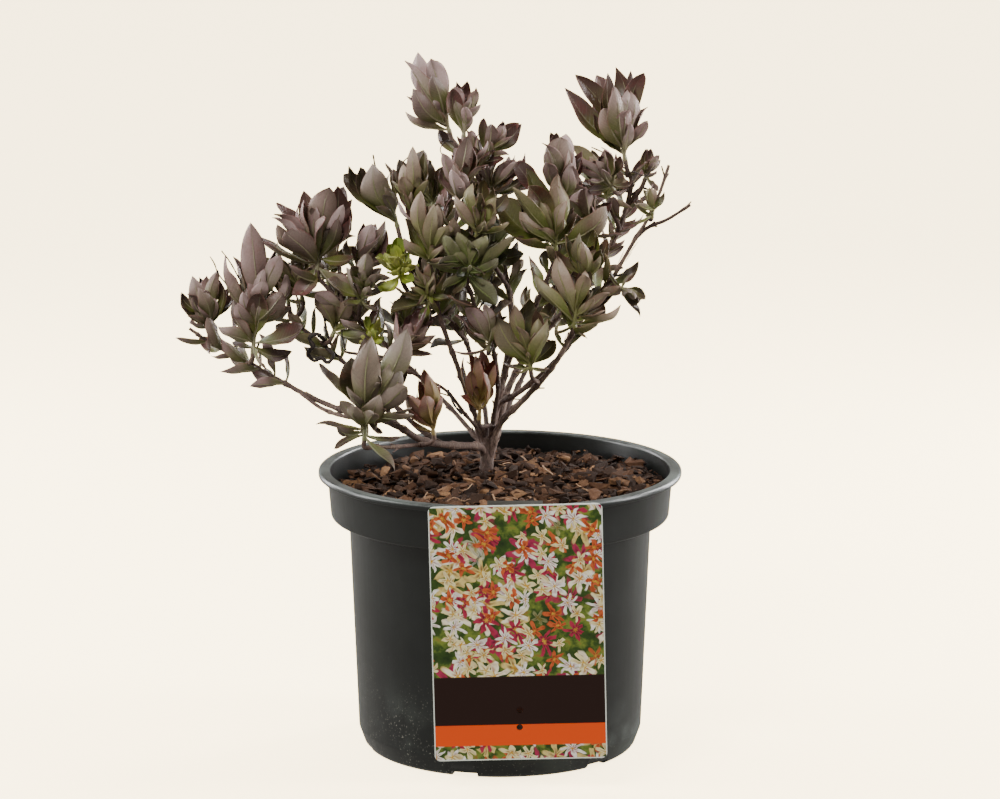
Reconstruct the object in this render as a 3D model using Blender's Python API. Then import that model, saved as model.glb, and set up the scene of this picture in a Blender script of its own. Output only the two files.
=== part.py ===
"""A young honeysuckle in its nursery pot: pot, soil, picture label, woody stems and leafy shoots.

Lengths are metres, +Z is up, the pot stands on Z = 0 with its axis on the Z axis, and the label faces -Y.
The shoots' tables are in millimetres, because a leaf is easier to read as whole millimetres.
"""

import math
import random
from dataclasses import dataclass

import bmesh
import bpy
from mathutils import Matrix, Vector, noise
from mathutils.bvhtree import BVHTree

MM = 0.001
GAP = 0.0004  # clear space between two touching pieces
TURN_STEP = 0.4  # radians between the first sides of one tube and the next
SMOOTH_ANGLE = math.radians(75)

# Pot
POT_HEIGHT = 0.148
RIM_RADIUS = 0.095
LIP_HEIGHT = 0.0035
COLLAR_HEIGHT = 0.025
COLLAR_TOP_RADIUS = 0.0902
COLLAR_FOOT_RADIUS = 0.0885
BODY_TOP_RADIUS = 0.0790
BODY_FOOT_RADIUS = 0.0745
FOOT_RADIUS = 0.0700
FOOT_RING_INNER_RADIUS = 0.0640
FOOT_BOSS_RADIUS = 0.009
FOOT_CURVE_HEIGHT = 0.010
WALL = 0.0013
FLOOR_UNDERSIDE = 0.0040
FLOOR_TOP = 0.0058
POT_SIDES = 28
DRAIN_COUNT = 6
DRAIN_RADIUS = 0.0045
DRAIN_CIRCLE = 0.047
DRAIN_SIDES = 8
NOTCH_COUNT = 6
NOTCH_WIDTH = 0.014
NOTCH_HEIGHT = 0.0026
NOTCH_DEPTH = 0.024
NOTCH_START = 0.25  # of the way from one notch to the next

# Soil
SOIL_LEVEL = 0.1385
SOIL_RELIEF = 0.0040
SOIL_MOUND = 0.0045
SOIL_MOUND_SPREAD = 0.035
SOIL_TILT = 0.020
SOIL_GRAIN = 0.0075
SOIL_RINGS = (0.90, 0.78, 0.66, 0.54, 0.42, 0.30, 0.16)
SOIL_RING_WOBBLE = 0.04
CROWN = Vector((-0.007, 0.018, 0.0))
HOLE_SIDES = 12
HOLE_RADIUS = 0.0052
HOLE_FLOOR = 0.112
CUTTER_OVERRUN = 0.002

# Label
LABEL_WIDTH = 0.0875
LABEL_HEIGHT = 0.1325
LABEL_THICKNESS = 0.0008
LABEL_CORNER = 0.003
LABEL_CORNER_STEPS = 4
LABEL_CENTRE_X = 0.0075
LABEL_TOP = 0.1500
LABEL_LEAN = math.radians(1.4)
LABEL_HOLE_RADIUS = 0.0016
LABEL_HOLES = ((0.0025, 0.0260), (0.0025, 0.0170))  # from the label's foot, at its middle
TONGUE_WIDTH = 0.028
TONGUE_DEPTH = 0.022
TONGUE_INNER_Y = -0.0834
TONGUE_ROOT = 0.004
TONGUE_INSET = 0.0001
SLOT_CLEARANCE = 0.0008

# Woody stems
STEM_SIDES = 5
TWIG_SIDES = 3
RING_SPACING = 0.0205
KNUCKLE = 1.22
TRUNK_SIDES = 8
TRUNK_HEIGHTS = (HOLE_FLOOR + GAP, 0.130, 0.146, 0.152, 0.160)
TRUNK_RADII = (0.0034, 0.0035, 0.0036, 0.0036, 0.0026)
TWIG_RADIUS = 0.00125
TWIG_STEPS = 3
TWIG_KNUCKLE = 1.12
TWIG_PULL = 0.45  # how far a twig keeps its first and last heading, as a share of its reach
TWIG_OVERRUN = 0.004
SHORT_TWIG = 0.016
DEAD_RING_SPACING = 0.012
DEAD_TIP_SHARE = 0.8

# Leaves
LEAF_THICKNESS = 0.0011
LEAF_ROWS = ((0.14, 0.20), (0.44, 1.0), (0.76, 0.68))  # along the leaf, share of its half width
SMALL_LEAF_ROWS = ((0.36, 0.88), (0.72, 0.78))
SMALL_LEAF_LENGTH = 0.031
TINY_LEAF_ROWS = ((0.48, 1.0),)
TINY_LEAF_LENGTH = 0.0145
LEAF_FOLD = 0.42
LEAF_BREADTH = 1.04
WIDEST_LEAF = 0.54
LEAF_BOW = 0.10
LOWEST_LEAF = 0.12
FACE_TO_SKY = 1.2
FACE_TWIST = 0.75
FACE_TWIST_SWAP = 0.25
FACE_WOBBLE = 0.60
SHOOT_SIDES = 4
SHOOT_RADIUS = 0.00125
ROOT_OFFSET = 0.5
SHOOT_TIP_RADIUS = 0.0006
SHOOT_OVERRUN = 1.12
YOUNG_LENGTH = 0.013
YOUNG_WIDTH = 0.42
YOUNG_HEIGHT = 0.9
YOUNG_SPREAD = math.radians(26)
YOUNG_SPREAD_WOBBLE = math.radians(8)
LEAF_CLEARANCE = 0.0005
ROOT_SHARE = 0.2

# Each stem: thickness at its root and tip in mm, then the points it runs through in mm.
STEMS = {
    "tall": (3.8, 2.0, [
        (-6, 19, 150), (-4, 22, 163), (1, 26, 187), (5, 28, 208), (6, 29, 226), (2, 30, 250),
        (-4, 30, 269), (-8, 28, 285), (-12, 25, 299), (-18, 22, 311), (-20, 19, 316)]),
    "right_main": (4.0, 2.2, [
        (-5, 19, 150), (-1, 24, 164), (5, 32, 185), (17, 40, 204), (32, 46, 220), (48, 48, 240),
        (59, 47, 258), (66, 45, 276), (69, 42, 292), (67, 40, 299)]),
    "right_low": (3.8, 2.4, [
        (-5, 17, 150), (0, 15, 168), (12, 8, 182), (23, 0, 196), (31, -4, 208), (37, -6, 220),
        (41, -7, 231), (43, -8, 242)]),
    "right_outer": (3.2, 1.6, [
        (-5, 20, 158), (-1, 21, 176), (9, 16, 184), (18, 11, 192), (29, 7, 203), (38, 4, 216),
        (43, 3, 227), (50, 2, 238), (58, 0, 248), (63, -2, 257), (70, -4, 270), (75, -4, 278),
        (82, -4, 293), (87, -3, 308)]),
    "outer_side": (2.0, 1.4, [(70, -4, 270), (77, -4, 276), (86, -6, 280), (98, -8, 288)]),
    "right_inner": (2.6, 2.2, [
        (1, 27, 184), (5, 25, 200), (11, 21, 214), (18, 15, 230), (24, 9, 245), (29, 5, 258)]),
    "centre_left": (3.0, 2.2, [
        (-8, 18, 152), (-9, 19, 161), (-16, 12, 181), (-23, 5, 203), (-29, 0, 221), (-33, -3, 238),
        (-32, -3, 254), (-28, -3, 268), (-23, -2, 279)]),
    "centre": (2.8, 2.0, [
        (-6, 18, 154), (-3, 16, 173), (-1, 8, 190), (-3, 0, 208), (-7, -6, 221), (-12, -10, 232),
        (-16, -13, 246)]),
    "behind": (2.2, 1.8, [
        (-10, 19, 156), (-13, 22, 168), (-14, 26, 186), (-16, 27, 204), (-21, 24, 216), (-30, 14, 227),
        (-36, 5, 233)]),
    "thin_left": (2.0, 1.2, [
        (-9, 17, 158), (-11, 15, 164), (-19, 6, 176), (-25, 2, 185), (-31, 0, 191), (-44, -3, 198),
        (-55, -6, 204), (-68, -5, 208), (-81, -3, 210)]),
    "low_left": (4.2, 1.6, [
        (-8, 18, 150), (-11, 13, 156), (-24, -2, 160), (-39, -15, 165), (-52, -22, 174),
        (-63, -20, 178), (-78, -10, 179), (-99, 2, 185), (-115, 10, 192), (-136, 15, 203),
        (-151, 18, 210), (-163, 20, 218)]),
    "low_front": (2.6, 1.8, [(-34, -11, 163), (-44, -24, 165), (-56, -34, 166), (-66, -36, 167)]),
    "low_back": (2.4, 1.8, [(-62, -20, 178), (-78, -16, 178), (-92, -5, 180), (-104, 2, 187)]),
    "left_mid": (2.6, 2.0, [
        (-30, -7, 162), (-42, 1, 168), (-54, 8, 178), (-67, 12, 187), (-79, 16, 198), (-92, 19, 209),
        (-104, 22, 218), (-111, 24, 226)]),
    "left_up": (2.8, 2.0, [
        (-50, -21, 172), (-58, -8, 179), (-62, 0, 195), (-65, 1, 211), (-71, 3, 223), (-81, 5, 233),
        (-88, 6, 240), (-94, 6, 247)]),
    "back_mid": (2.8, 2.0, [
        (-7, 20, 154), (-8, 32, 172), (-14, 44, 194), (-22, 54, 216), (-30, 60, 238), (-34, 62, 252)]),
    "back_right": (2.8, 2.0, [
        (-4, 20, 156), (6, 38, 176), (18, 52, 198), (28, 62, 222), (34, 68, 244), (36, 70, 256)]),
    "back_left": (2.6, 2.0, [
        (-8, 20, 154), (-24, 34, 170), (-44, 46, 188), (-64, 52, 206), (-80, 54, 222), (-88, 54, 232)]),
}

# Bare dead twigs: thickness in mm, then the points in mm.
DEAD_TWIGS = [
    (1.6, [(-86, 17, 204), (-89, 14, 212), (-91, 12, 220), (-92, 11, 227)]),
    (1.2, [(-62, -1, 197), (-67, -3, 201), (-74, -4, 203), (-80, -5, 204)]),
    (1.3, [(-12, -10, 232), (-6, -12, 243), (-4, -13, 252)]),
    (1.2, [(58, 0, 249), (63, -3, 251), (66, -4, 254)]),
    (1.4, [(68, 44, 284), (74, 42, 289), (79, 41, 288)]),
    (1.4, [(-130, 13, 200), (-128, 9, 207), (-126, 8, 212)]),
    (1.4, [(-20, 2, 176), (-24, -2, 182), (-27, -4, 190)]),
]


@dataclass(frozen=True)
class Shoot:
    """A leafy shoot: where it grows, and each old leaf by the height it leaves at and where it reaches.

    base and rise are in mm, the base as a place and the rise as the way from the base to the shoot's tip.
    A leaf is (share of the rise, reach in X, Y, Z in mm from the base, width as a share of its length).
    """

    stem: str
    at: float
    base: tuple
    rise: tuple
    tone: str
    leaves: tuple


SHOOTS = {
    "top_mid": Shoot("tall", 0.985, (-19, 14, 319), (1, 2, 11), "plum", (
        (0.7, -4, 0, 28, 0.44), (1.0, 5, 6, 24, 0.38), (0.9, 9, -6, 18, 0.40), (0.5, -9, 6, 18, 0.34),
        (0.5, 1, -10, 18, 0.36))),
    "top_left": Shoot("tall", 0.93, (-26, 20, 321), (-3, 1, 11), "plum", (
        (0.7, -22, 0, 39, 0.34), (1.0, -9, 4, 35, 0.36), (0.8, -9, -8, 31, 0.36), (0.4, -18, 6, 21, 0.36),
        (0.1, -24, 0, 8, 0.32))),
    "top_right": Shoot("tall", 0.80, (-8, 21, 306), (3, 0, 8), "plum", (
        (0.8, 19, 2, 20, 0.40), (0.7, 4, -6, 21, 0.46), (1.0, 9, 6, 15, 0.36), (0.4, 13, -8, 6, 0.36),
        (0.3, -6, 8, 8, 0.40))),
    "mid_right": Shoot("tall", 0.62, (-6, 21, 286), (3, 2, 9), "plum", (
        (0.7, 13, -2, 23, 0.36), (1.0, 8, 6, 20, 0.36), (0.3, 25, 2, 7, 0.48), (0.6, -6, -4, 19, 0.36),
        (0.3, 14, -12, 13, 0.40))),
    "right_top": Shoot("right_main", 1.0, (66, 40, 303), (-3, 0, 16), "plum", (
        (0.5, -31, 2, 40, 0.32), (0.8, -11, 6, 37, 0.38), (1.0, -7, 0, 41, 0.34), (0.9, 1, 6, 48, 0.18),
        (0.4, -12, -10, 30, 0.44), (0.6, -3, -8, 32, 0.50), (0.7, 10, 2, 30, 0.44), (0.4, 11, -6, 23, 0.34),
        (0.2, -19, 6, 19, 0.44))),
    "right_top_side": Shoot("right_main", 0.86, (76, 42, 293), (2, 0, 6), "plum", (
        (0.8, 4, 4, 16, 0.40), (0.6, 8, -2, 10, 0.60), (0.3, 7, -4, -5, 0.50), (0.7, -1, 8, 12, 0.40))),
    "right_back": Shoot("right_main", 0.78, (58, 42, 279), (-5, 4, 13), "bronze", (
        (0.8, -23, 6, 27, 0.34), (0.6, -11, -6, 26, 0.50), (0.3, -15, 4, 10, 0.45), (0.2, 12, -10, 2, 0.40),
        (1.0, -4, 8, 23, 0.40))),
    "right_mid_top": Shoot("right_inner", 0.72, (32, 14, 284), (0, 0, 14), "plum", (
        (0.5, -1, -6, 37, 0.56), (0.8, 3, 6, 31, 0.42), (0.2, -23, 0, 24, 0.36), (0.6, 11, 4, 22, 0.42),
        (0.3, 13, -4, 11, 0.50), (0.4, -7, -12, 26, 0.42), (0.3, 7, -12, 23, 0.42))),
    "right_mid": Shoot("right_inner", 1.0, (29, 4, 262), (0, -1, 10), "bronze", (
        (0.4, -31, 4, 29, 0.52), (0.6, -20, 10, 32, 0.40), (0.1, -22, -8, 7, 0.62), (0.6, -9, -6, 26, 0.34),
        (0.8, 2, -10, 27, 0.42), (0.3, 27, -6, 21, 0.44), (1.0, 9, 6, 22, 0.36))),
    "right_small": Shoot("right_low", 1.0, (43, -8, 246), (2, 0, 9), "bronze", (
        (0.3, -16, -4, 18, 0.36), (0.6, -3, -8, 22, 0.40), (0.9, 5, 0, 30, 0.36), (0.7, 13, 6, 23, 0.38),
        (0.4, 9, -8, 16, 0.40), (0.2, -18, 6, 5, 0.34))),
    "right_low_shoot": Shoot("right_low", 0.74, (38, -12, 224), (2, -3, 14), "bronze", (
        (0.2, -22, -2, 26, 0.28), (0.6, -8, 4, 23, 0.34), (0.1, 25, -4, 9, 0.34), (0.9, 8, -2, 22, 0.36),
        (1.0, 14, 6, 22, 0.34), (0.05, 7, -6, -4, 0.30), (0.05, -10, -4, -2, 0.25))),
    "droop": Shoot("right_outer", 0.62, (61, -5, 245), (2, -3, -1), "olive", (
        (0.8, 13, 0, -15, 0.46), (0.9, -5, -3, 9, 0.30), (0.9, 7, 0, 7, 0.30))),
    "bud_pair": Shoot("right_outer", 0.84, (78, -7, 281), (1, -1, 5), "bronze", (
        (0.7, 1, -1, 15, 0.66), (0.2, -11, -5, -3, 0.30))),
    "front_right": Shoot("right_low", 0.45, (16, -10, 201), (-1, -2, 13), "bronze", (
        (0.7, -2, 2, 38, 0.48), (0.3, -18, -4, 29, 0.42), (0.6, 8, -4, 29, 0.26), (0.2, 13, 4, 15, 0.46),
        (0.05, 9, -2, 1, 0.40), (0.05, -15, -2, 4, 0.34), (0.1, -9, -6, 0, 0.50))),
    "centre_low": Shoot("centre", 0.10, (-11, 4, 172), (1, -2, 15), "red", (
        (0.6, 2, -2, 38, 0.42), (0.3, -10, -4, 34, 0.20), (0.9, 6, 2, 31, 0.36), (0.3, -9, 2, 14, 0.42),
        (0.3, -2, -10, 21, 0.36), (0.6, 7, -8, 21, 0.30))),
    "centre_small": Shoot("centre", 0.62, (-6, -8, 211), (1, -3, 10), "plum", (
        (0.6, -14, -4, 23, 0.38), (0.1, -18, -2, 0, 0.20), (0.8, 3, 2, 23, 0.36), (0.6, 7, -4, 15, 0.30))),
    "centre_front": Shoot("centre", 1.0, (-17, -15, 251), (1, -1, 11), "green", (
        (0.5, -4, 2, 26, 0.54), (0.9, 10, 4, 23, 0.34), (0.3, 24, -2, 22, 0.52), (0.2, -21, -2, 9, 0.40),
        (0.05, -14, -6, -4, 0.60), (0.05, -6, -8, -7, 0.60), (0.0, 16, -4, -12, 0.46), (0.6, 6, -10, 18, 0.34))),
    "mid_dense": Shoot("centre_left", 0.74, (-37, -9, 254), (2, -2, 15), "bronze", (
        (0.4, -11, -4, 28, 0.42), (0.8, 5, -6, 35, 0.42), (0.6, 11, -10, 26, 0.40), (0.3, -13, -8, 16, 0.40),
        (0.3, 15, -4, 12, 0.40), (1.0, -4, 6, 31, 0.40), (0.2, 8, -12, 5, 0.40))),
    "mid_top": Shoot("centre_left", 1.0, (-22, -2, 284), (1, 2, 13), "plum", (
        (0.6, -6, -2, 28, 0.40), (0.9, 6, 6, 28, 0.36), (0.4, -11, 4, 19, 0.30), (0.7, 11, 0, 32, 0.36),
        (0.2, 17, -6, 13, 0.46), (0.4, 2, -12, 21, 0.40), (0.6, -3, -14, 21, 0.30))),
    "mid_back": Shoot("tall", 0.58, (-34, 26, 278), (-2, 3, 10), "olive", (
        (0.7, 7, 2, 25, 0.62), (0.6, -9, 0, 20, 0.50), (0.9, 1, 6, 26, 0.40), (0.3, -13, 6, 11, 0.45))),
    "mid_top_left": Shoot("centre_left", 0.84, (-44, -2, 279), (-2, 2, 12), "bronze", (
        (0.8, -9, 4, 31, 0.40), (0.6, -7, -8, 25, 0.38), (1.0, 0, 0, 32, 0.32), (0.3, -5, -12, 18, 0.24),
        (0.6, 7, -6, 22, 0.40))),
    "mid_left": Shoot("behind", 0.90, (-53, 8, 273), (-3, 3, 12), "olive", (
        (0.2, -27, 2, 32, 0.17), (0.5, -13, -8, 33, 0.48), (0.9, -7, 8, 23, 0.36), (0.3, -11, -10, 14, 0.30))),
    "yellow_green": Shoot("behind", 1.0, (-51, -5, 249), (-2, -2, 7), "yellow", (
        (0.4, -13, -2, 12, 0.75), (0.7, -5, 0, 17, 0.70), (0.8, 3, 4, 13, 0.70), (0.5, 9, -4, 8, 0.70),
        (0.2, -10, -6, -7, 0.55), (0.4, -2, -10, 6, 0.70), (0.2, 6, -8, 1, 0.60))),
    "mid_low": Shoot("behind", 0.80, (-37, -7, 235), (0, -1, 11), "bronze", (
        (0.1, -19, -4, 0, 0.48), (0.3, -18, 0, 11, 0.45), (0.6, -8, 6, 18, 0.40), (0.5, 11, -6, 6, 0.40),
        (0.8, 1, -6, 24, 0.40), (0.1, -2, -6, -9, 0.60))),
    "left_pink": Shoot("thin_left", 0.62, (-53, -9, 209), (2, 0, 7), "pink", (
        (0.4, 0, -6, 24, 0.52), (0.5, 18, 2, 19, 0.34), (0.1, 18, -2, 1, 0.36), (0.8, 6, 6, 21, 0.42),
        (0.5, 11, -8, 14, 0.40))),
    "green_rosette": Shoot("left_up", 0.40, (-66, -5, 214), (0, -1, 5), "yellow", (
        (0.5, -7, -2, 1, 0.70), (0.5, 6, 0, 3, 0.70), (1.0, 0, 2, 10, 0.80), (0.8, 3, -7, 1, 0.70))),
    "big_left": Shoot("left_up", 1.0, (-95, 6, 251), (1, 3, 13), "plum", (
        (0.2, -32, -4, 20, 0.36), (0.5, -20, 4, 36, 0.40), (0.5, -8, -8, 38, 0.42), (0.8, -7, 8, 41, 0.40),
        (1.0, 1, 6, 38, 0.36), (0.9, 6, -4, 46, 0.44), (0.5, 21, -8, 28, 0.38), (0.5, 18, 10, 28, 0.42),
        (0.05, 28, -10, -12, 0.50), (0.05, -12, -8, -13, 0.62), (0.2, -17, -14, 20, 0.50))),
    "big_left_side": Shoot("left_up", 0.80, (-76, 12, 248), (4, 3, 8), "plum", (
        (0.6, 9, -6, 27, 0.38), (0.8, 5, 8, 26, 0.36), (0.8, 17, 4, 23, 0.36), (0.6, 14, -8, 20, 0.34),
        (0.3, 18, 8, 15, 0.40), (0.1, 19, -8, -1, 0.40), (0.2, -6, 8, 16, 0.45))),
    "left_under": Shoot("left_mid", 0.76, (-88, 10, 215), (4, 3, 10), "bronze", (
        (0.4, -8, -4, 22, 0.42), (0.8, 6, 6, 23, 0.48), (0.6, 23, -4, 19, 0.50), (0.2, 20, -8, 4, 0.45),
        (0.2, -16, 6, 9, 0.35), (0.8, 15, -10, 23, 0.40))),
    "left_back": Shoot("left_mid", 1.0, (-111, 24, 230), (-2, 4, 9), "bronze", (
        (0.5, -12, 2, 26, 0.42), (0.7, -5, 6, 22, 0.40), (0.9, 2, -4, 22, 0.42), (0.6, 5, 8, 17, 0.42),
        (0.3, -8, -10, 9, 0.42), (0.2, 8, -10, 3, 0.40))),
    "left_front": Shoot("low_left", 0.80, (-129, 2, 207), (3, 4, 27), "plum", (
        (0.7, -15, -4, 52, 0.38), (0.8, -7, 4, 52, 0.42), (0.5, -7, -10, 29, 0.42), (0.15, -17, -6, 14, 0.50),
        (0.15, 28, -8, 16, 0.46), (0.1, 7, -12, -5, 0.50), (0.05, -11, 8, 5, 0.40), (0.05, 20, 4, 0, 0.40),
        (0.9, 7, -8, 40, 0.50), (0.6, 17, -10, 39, 0.40), (1.0, -1, 10, 48, 0.35))),
    "left_end": Shoot("low_left", 0.92, (-152, 14, 216), (-2, 2, 13), "plum", (
        (0.5, -8, -4, 31, 0.42), (0.8, 4, 8, 29, 0.36), (0.5, -16, 2, 20, 0.40), (0.2, -9, -12, 9, 0.50),
        (0.6, 14, 6, 22, 0.40), (0.1, 0, -12, -9, 0.50), (0.9, -3, -8, 27, 0.30))),
    "front_left": Shoot("low_front", 1.0, (-70, -37, 169), (3, 4, 24), "olive", (
        (0.6, -24, 2, 40, 0.22), (0.5, -5, -2, 44, 0.46), (0.8, 3, 8, 45, 0.40), (0.5, 19, -4, 44, 0.26),
        (0.5, 14, 10, 26, 0.40), (0.35, 25, 0, 18, 0.34), (0.2, -24, 2, 12, 0.25), (0.15, -13, -12, 10, 0.30),
        (0.05, -15, -4, -2, 0.20), (0.05, 18, 6, -3, 0.20), (0.0, 15, -8, -14, 0.36), (0.3, 8, -12, 25, 0.50),
        (0.3, -6, -14, 21, 0.50), (0.6, 9, -8, 34, 0.40))),
    "front_small": Shoot("low_front", 0.25, (-34, -25, 170), (-2, 0, 12), "red", (
        (0.3, -14, -4, 24, 0.46), (0.8, -8, 4, 29, 0.22), (0.8, 2, 6, 26, 0.34), (0.5, 5, -4, 21, 0.34),
        (0.5, -4, -10, 23, 0.50), (0.1, -12, 4, 8, 0.22))),
    "top_low": Shoot("tall", 0.88, (-12, 16, 300), (-3, -2, 9), "plum", (
        (0.6, -12, -4, 15, 0.38), (0.6, 7, -7, 17, 0.40), (0.4, 14, 2, 10, 0.38), (0.9, -2, 6, 19, 0.38),
        (0.3, 4, -12, 5, 0.42))),
    "right_top_low": Shoot("right_main", 0.93, (60, 32, 289), (-6, -4, 9), "plum", (
        (0.5, -19, -4, 13, 0.38), (0.6, -9, -8, 20, 0.42), (0.7, 5, -8, 19, 0.40), (0.3, 10, -8, 5, 0.42),
        (0.2, -14, -6, 1, 0.44))),
    "right_spine": Shoot("right_main", 0.66, (50, 38, 260), (-4, -4, 12), "plum", (
        (0.5, -16, -4, 24, 0.38), (0.6, 8, -6, 23, 0.40), (0.9, -6, 4, 28, 0.36), (0.3, 14, -8, 8, 0.42),
        (0.3, -18, -8, 9, 0.42), (0.4, 0, -13, 16, 0.42))),
    "right_spine_low": Shoot("right_main", 0.50, (38, 36, 238), (-3, -5, 11), "bronze", (
        (0.5, -14, -4, 20, 0.40), (0.6, 8, -6, 21, 0.40), (0.9, -4, 4, 25, 0.36), (0.3, 12, -6, 6, 0.42),
        (0.2, -15, -8, 4, 0.44))),
    "mid_front": Shoot("centre_left", 0.90, (-13, -11, 270), (3, -3, 12), "bronze", (
        (0.4, -11, -6, 23, 0.42), (0.6, 11, -8, 24, 0.42), (0.3, 18, -2, 8, 0.42), (0.9, 0, 6, 28, 0.38),
        (0.3, 5, -12, 11, 0.44), (0.2, -9, -10, 4, 0.44))),
    "mid_low_right": Shoot("tall", 0.47, (-4, 17, 254), (-4, -6, 10), "green", (
        (0.5, -14, -6, 20, 0.46), (0.6, 11, -4, 22, 0.44), (0.9, 0, 4, 25, 0.40), (0.3, 16, -6, 6, 0.46),
        (0.3, -13, -10, 4, 0.46), (0.4, 2, -13, 13, 0.44))),
    "mid_back_low": Shoot("behind", 0.62, (-31, 22, 232), (-3, 2, 12), "olive", (
        (0.5, -16, -4, 18, 0.44), (0.6, 9, -6, 20, 0.42), (0.9, -4, 6, 24, 0.40), (0.3, 12, 4, 6, 0.44),
        (0.2, -13, -8, 4, 0.46))),
    "left_fill": Shoot("left_up", 0.60, (-72, -8, 236), (2, -4, 10), "olive", (
        (0.4, -16, -6, 15, 0.44), (0.6, 11, -8, 18, 0.42), (0.4, 16, 0, 10, 0.42), (0.9, 0, 4, 23, 0.40),
        (0.2, -8, -11, 2, 0.46), (0.2, 9, -10, -2, 0.46))),
    "left_inner": Shoot("left_mid", 0.92, (-103, 13, 234), (-2, -3, 11), "bronze", (
        (0.5, -13, -4, 18, 0.42), (0.6, 11, -6, 20, 0.42), (0.9, 0, 4, 25, 0.38), (0.3, 13, -8, 4, 0.44),
        (0.3, 0, -13, 11, 0.44))),
    "back_mid_shoot": Shoot("back_mid", 1.0, (-35, 63, 256), (-1, 3, 14), "plum", (
        (0.5, -22, 6, 20, 0.42), (0.5, 18, 10, 20, 0.42), (0.7, -6, 18, 26, 0.42), (0.7, 4, -8, 26, 0.42),
        (0.2, -12, 24, 8, 0.44), (0.2, 10, -18, 10, 0.44), (0.9, -8, 6, 30, 0.40), (0.9, 6, 8, 30, 0.40))),
    "back_mid_low": Shoot("back_mid", 0.62, (-14, 62, 222), (3, 5, 10), "olive", (
        (0.5, -12, 14, 16, 0.42), (0.5, 18, 6, 16, 0.42), (0.7, 4, 18, 22, 0.42), (0.2, -14, 4, 4, 0.44),
        (0.2, 14, 18, 4, 0.44), (0.9, 4, 6, 26, 0.40))),
    "back_right_shoot": Shoot("back_right", 1.0, (37, 71, 260), (1, 3, 14), "plum", (
        (0.5, -22, 4, 18, 0.42), (0.5, 20, 10, 20, 0.42), (0.7, -6, 18, 26, 0.42), (0.7, 4, -8, 26, 0.42),
        (0.2, -10, 24, 8, 0.44), (0.2, 12, -16, 8, 0.44), (0.9, -8, 6, 30, 0.40), (0.9, 6, 8, 30, 0.40))),
    "back_left_shoot": Shoot("back_left", 1.0, (-91, 54, 235), (-3, 2, 13), "bronze", (
        (0.5, -22, 2, 16, 0.42), (0.5, 16, 10, 20, 0.42), (0.7, -8, 18, 22, 0.42), (0.7, 2, -12, 22, 0.42),
        (0.2, -10, 22, 6, 0.44), (0.2, 10, -16, 6, 0.44), (0.9, -6, 6, 27, 0.40))),
    "back_left_low": Shoot("back_left", 0.58, (-52, 60, 206), (1, 5, 9), "olive", (
        (0.5, -14, 12, 14, 0.42), (0.5, 16, 8, 14, 0.42), (0.7, 2, 20, 18, 0.42), (0.2, -14, 2, 3, 0.44),
        (0.9, 4, 4, 22, 0.40))),
}

# Colours of a shoot's leaves by tone, and of the other pieces.
TONES = {
    "plum": (0.150, 0.098, 0.090),
    "bronze": (0.135, 0.105, 0.070),
    "olive": (0.155, 0.155, 0.075),
    "green": (0.060, 0.100, 0.035),
    "yellow": (0.240, 0.330, 0.050),
    "pink": (0.240, 0.155, 0.135),
    "red": (0.170, 0.060, 0.045),
}
POT_COLOUR = (0.012, 0.014, 0.014)
POT_ROUGHNESS = 0.35
SOIL_COLOUR = (0.070, 0.035, 0.022)
SOIL_ROUGHNESS = 0.9
LABEL_COLOUR = (0.600, 0.420, 0.360)
LABEL_ROUGHNESS = 0.4
BARK_COLOUR = (0.070, 0.048, 0.036)
BARK_ROUGHNESS = 0.75
LEAF_ROUGHNESS = 0.5


def clear_scene():
    """Removes whatever the file held before."""
    for item in list(bpy.data.objects):
        bpy.data.objects.remove(item, do_unlink=True)


def material(name, colour, roughness, metallic=0.0):
    """A finish of one colour."""
    made = bpy.data.materials.new(name)
    made.use_nodes = True
    shader = made.node_tree.nodes["Principled BSDF"]
    shader.inputs["Base Color"].default_value = (*colour, 1.0)
    shader.inputs["Roughness"].default_value = roughness
    shader.inputs["Metallic"].default_value = metallic
    return made


def mesh_object(name, points, faces, finish=None):
    """A new object from points in metres and faces as corner numbers."""
    mesh = bpy.data.meshes.new(name)
    mesh.from_pydata([tuple(point) for point in points], [], faces)
    mesh.update()
    if finish:
        mesh.materials.append(finish)
    made = bpy.data.objects.new(name, mesh)
    bpy.context.scene.collection.objects.link(made)
    return made


def shade_round(body):
    """Shades a round piece smooth, with its real edges kept."""
    body.data.shade_smooth()
    body.data.set_sharp_from_angle(angle=SMOOTH_ANGLE)


def drilled_cutter(name, shape):
    """The shape as a hidden object that only cuts."""
    mesh = bpy.data.meshes.new(name)
    shape.to_mesh(mesh)
    shape.free()
    cutter = bpy.data.objects.new(name, mesh)
    bpy.context.scene.collection.objects.link(cutter)
    cutter.hide_render = True
    cutter.display_type = "WIRE"
    return cutter


def cut(body, cutter):
    """Takes the cutter away from the body."""
    step = body.modifiers.new(cutter.name, "BOOLEAN")
    step.operation = "DIFFERENCE"
    step.solver = "EXACT"
    step.object = cutter


def fuse(body, pieces):
    """Joins the pieces to the body by one Boolean union, applies it and removes the pieces."""
    group = bpy.data.collections.new(body.name + "_pieces")
    bpy.context.scene.collection.children.link(group)
    for piece in pieces:
        bpy.context.scene.collection.objects.unlink(piece)
        group.objects.link(piece)
    step = body.modifiers.new("fuse", "BOOLEAN")
    step.operation = "UNION"
    step.operand_type = "COLLECTION"
    step.solver = "MANIFOLD"
    step.collection = group
    with bpy.context.temp_override(object=body, active_object=body):
        bpy.ops.object.modifier_apply(modifier=step.name)
    for piece in pieces:
        mesh = piece.data
        bpy.data.objects.remove(piece, do_unlink=True)
        bpy.data.meshes.remove(mesh)
    bpy.data.collections.remove(group)
    keep_outer_skin(body)


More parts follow.
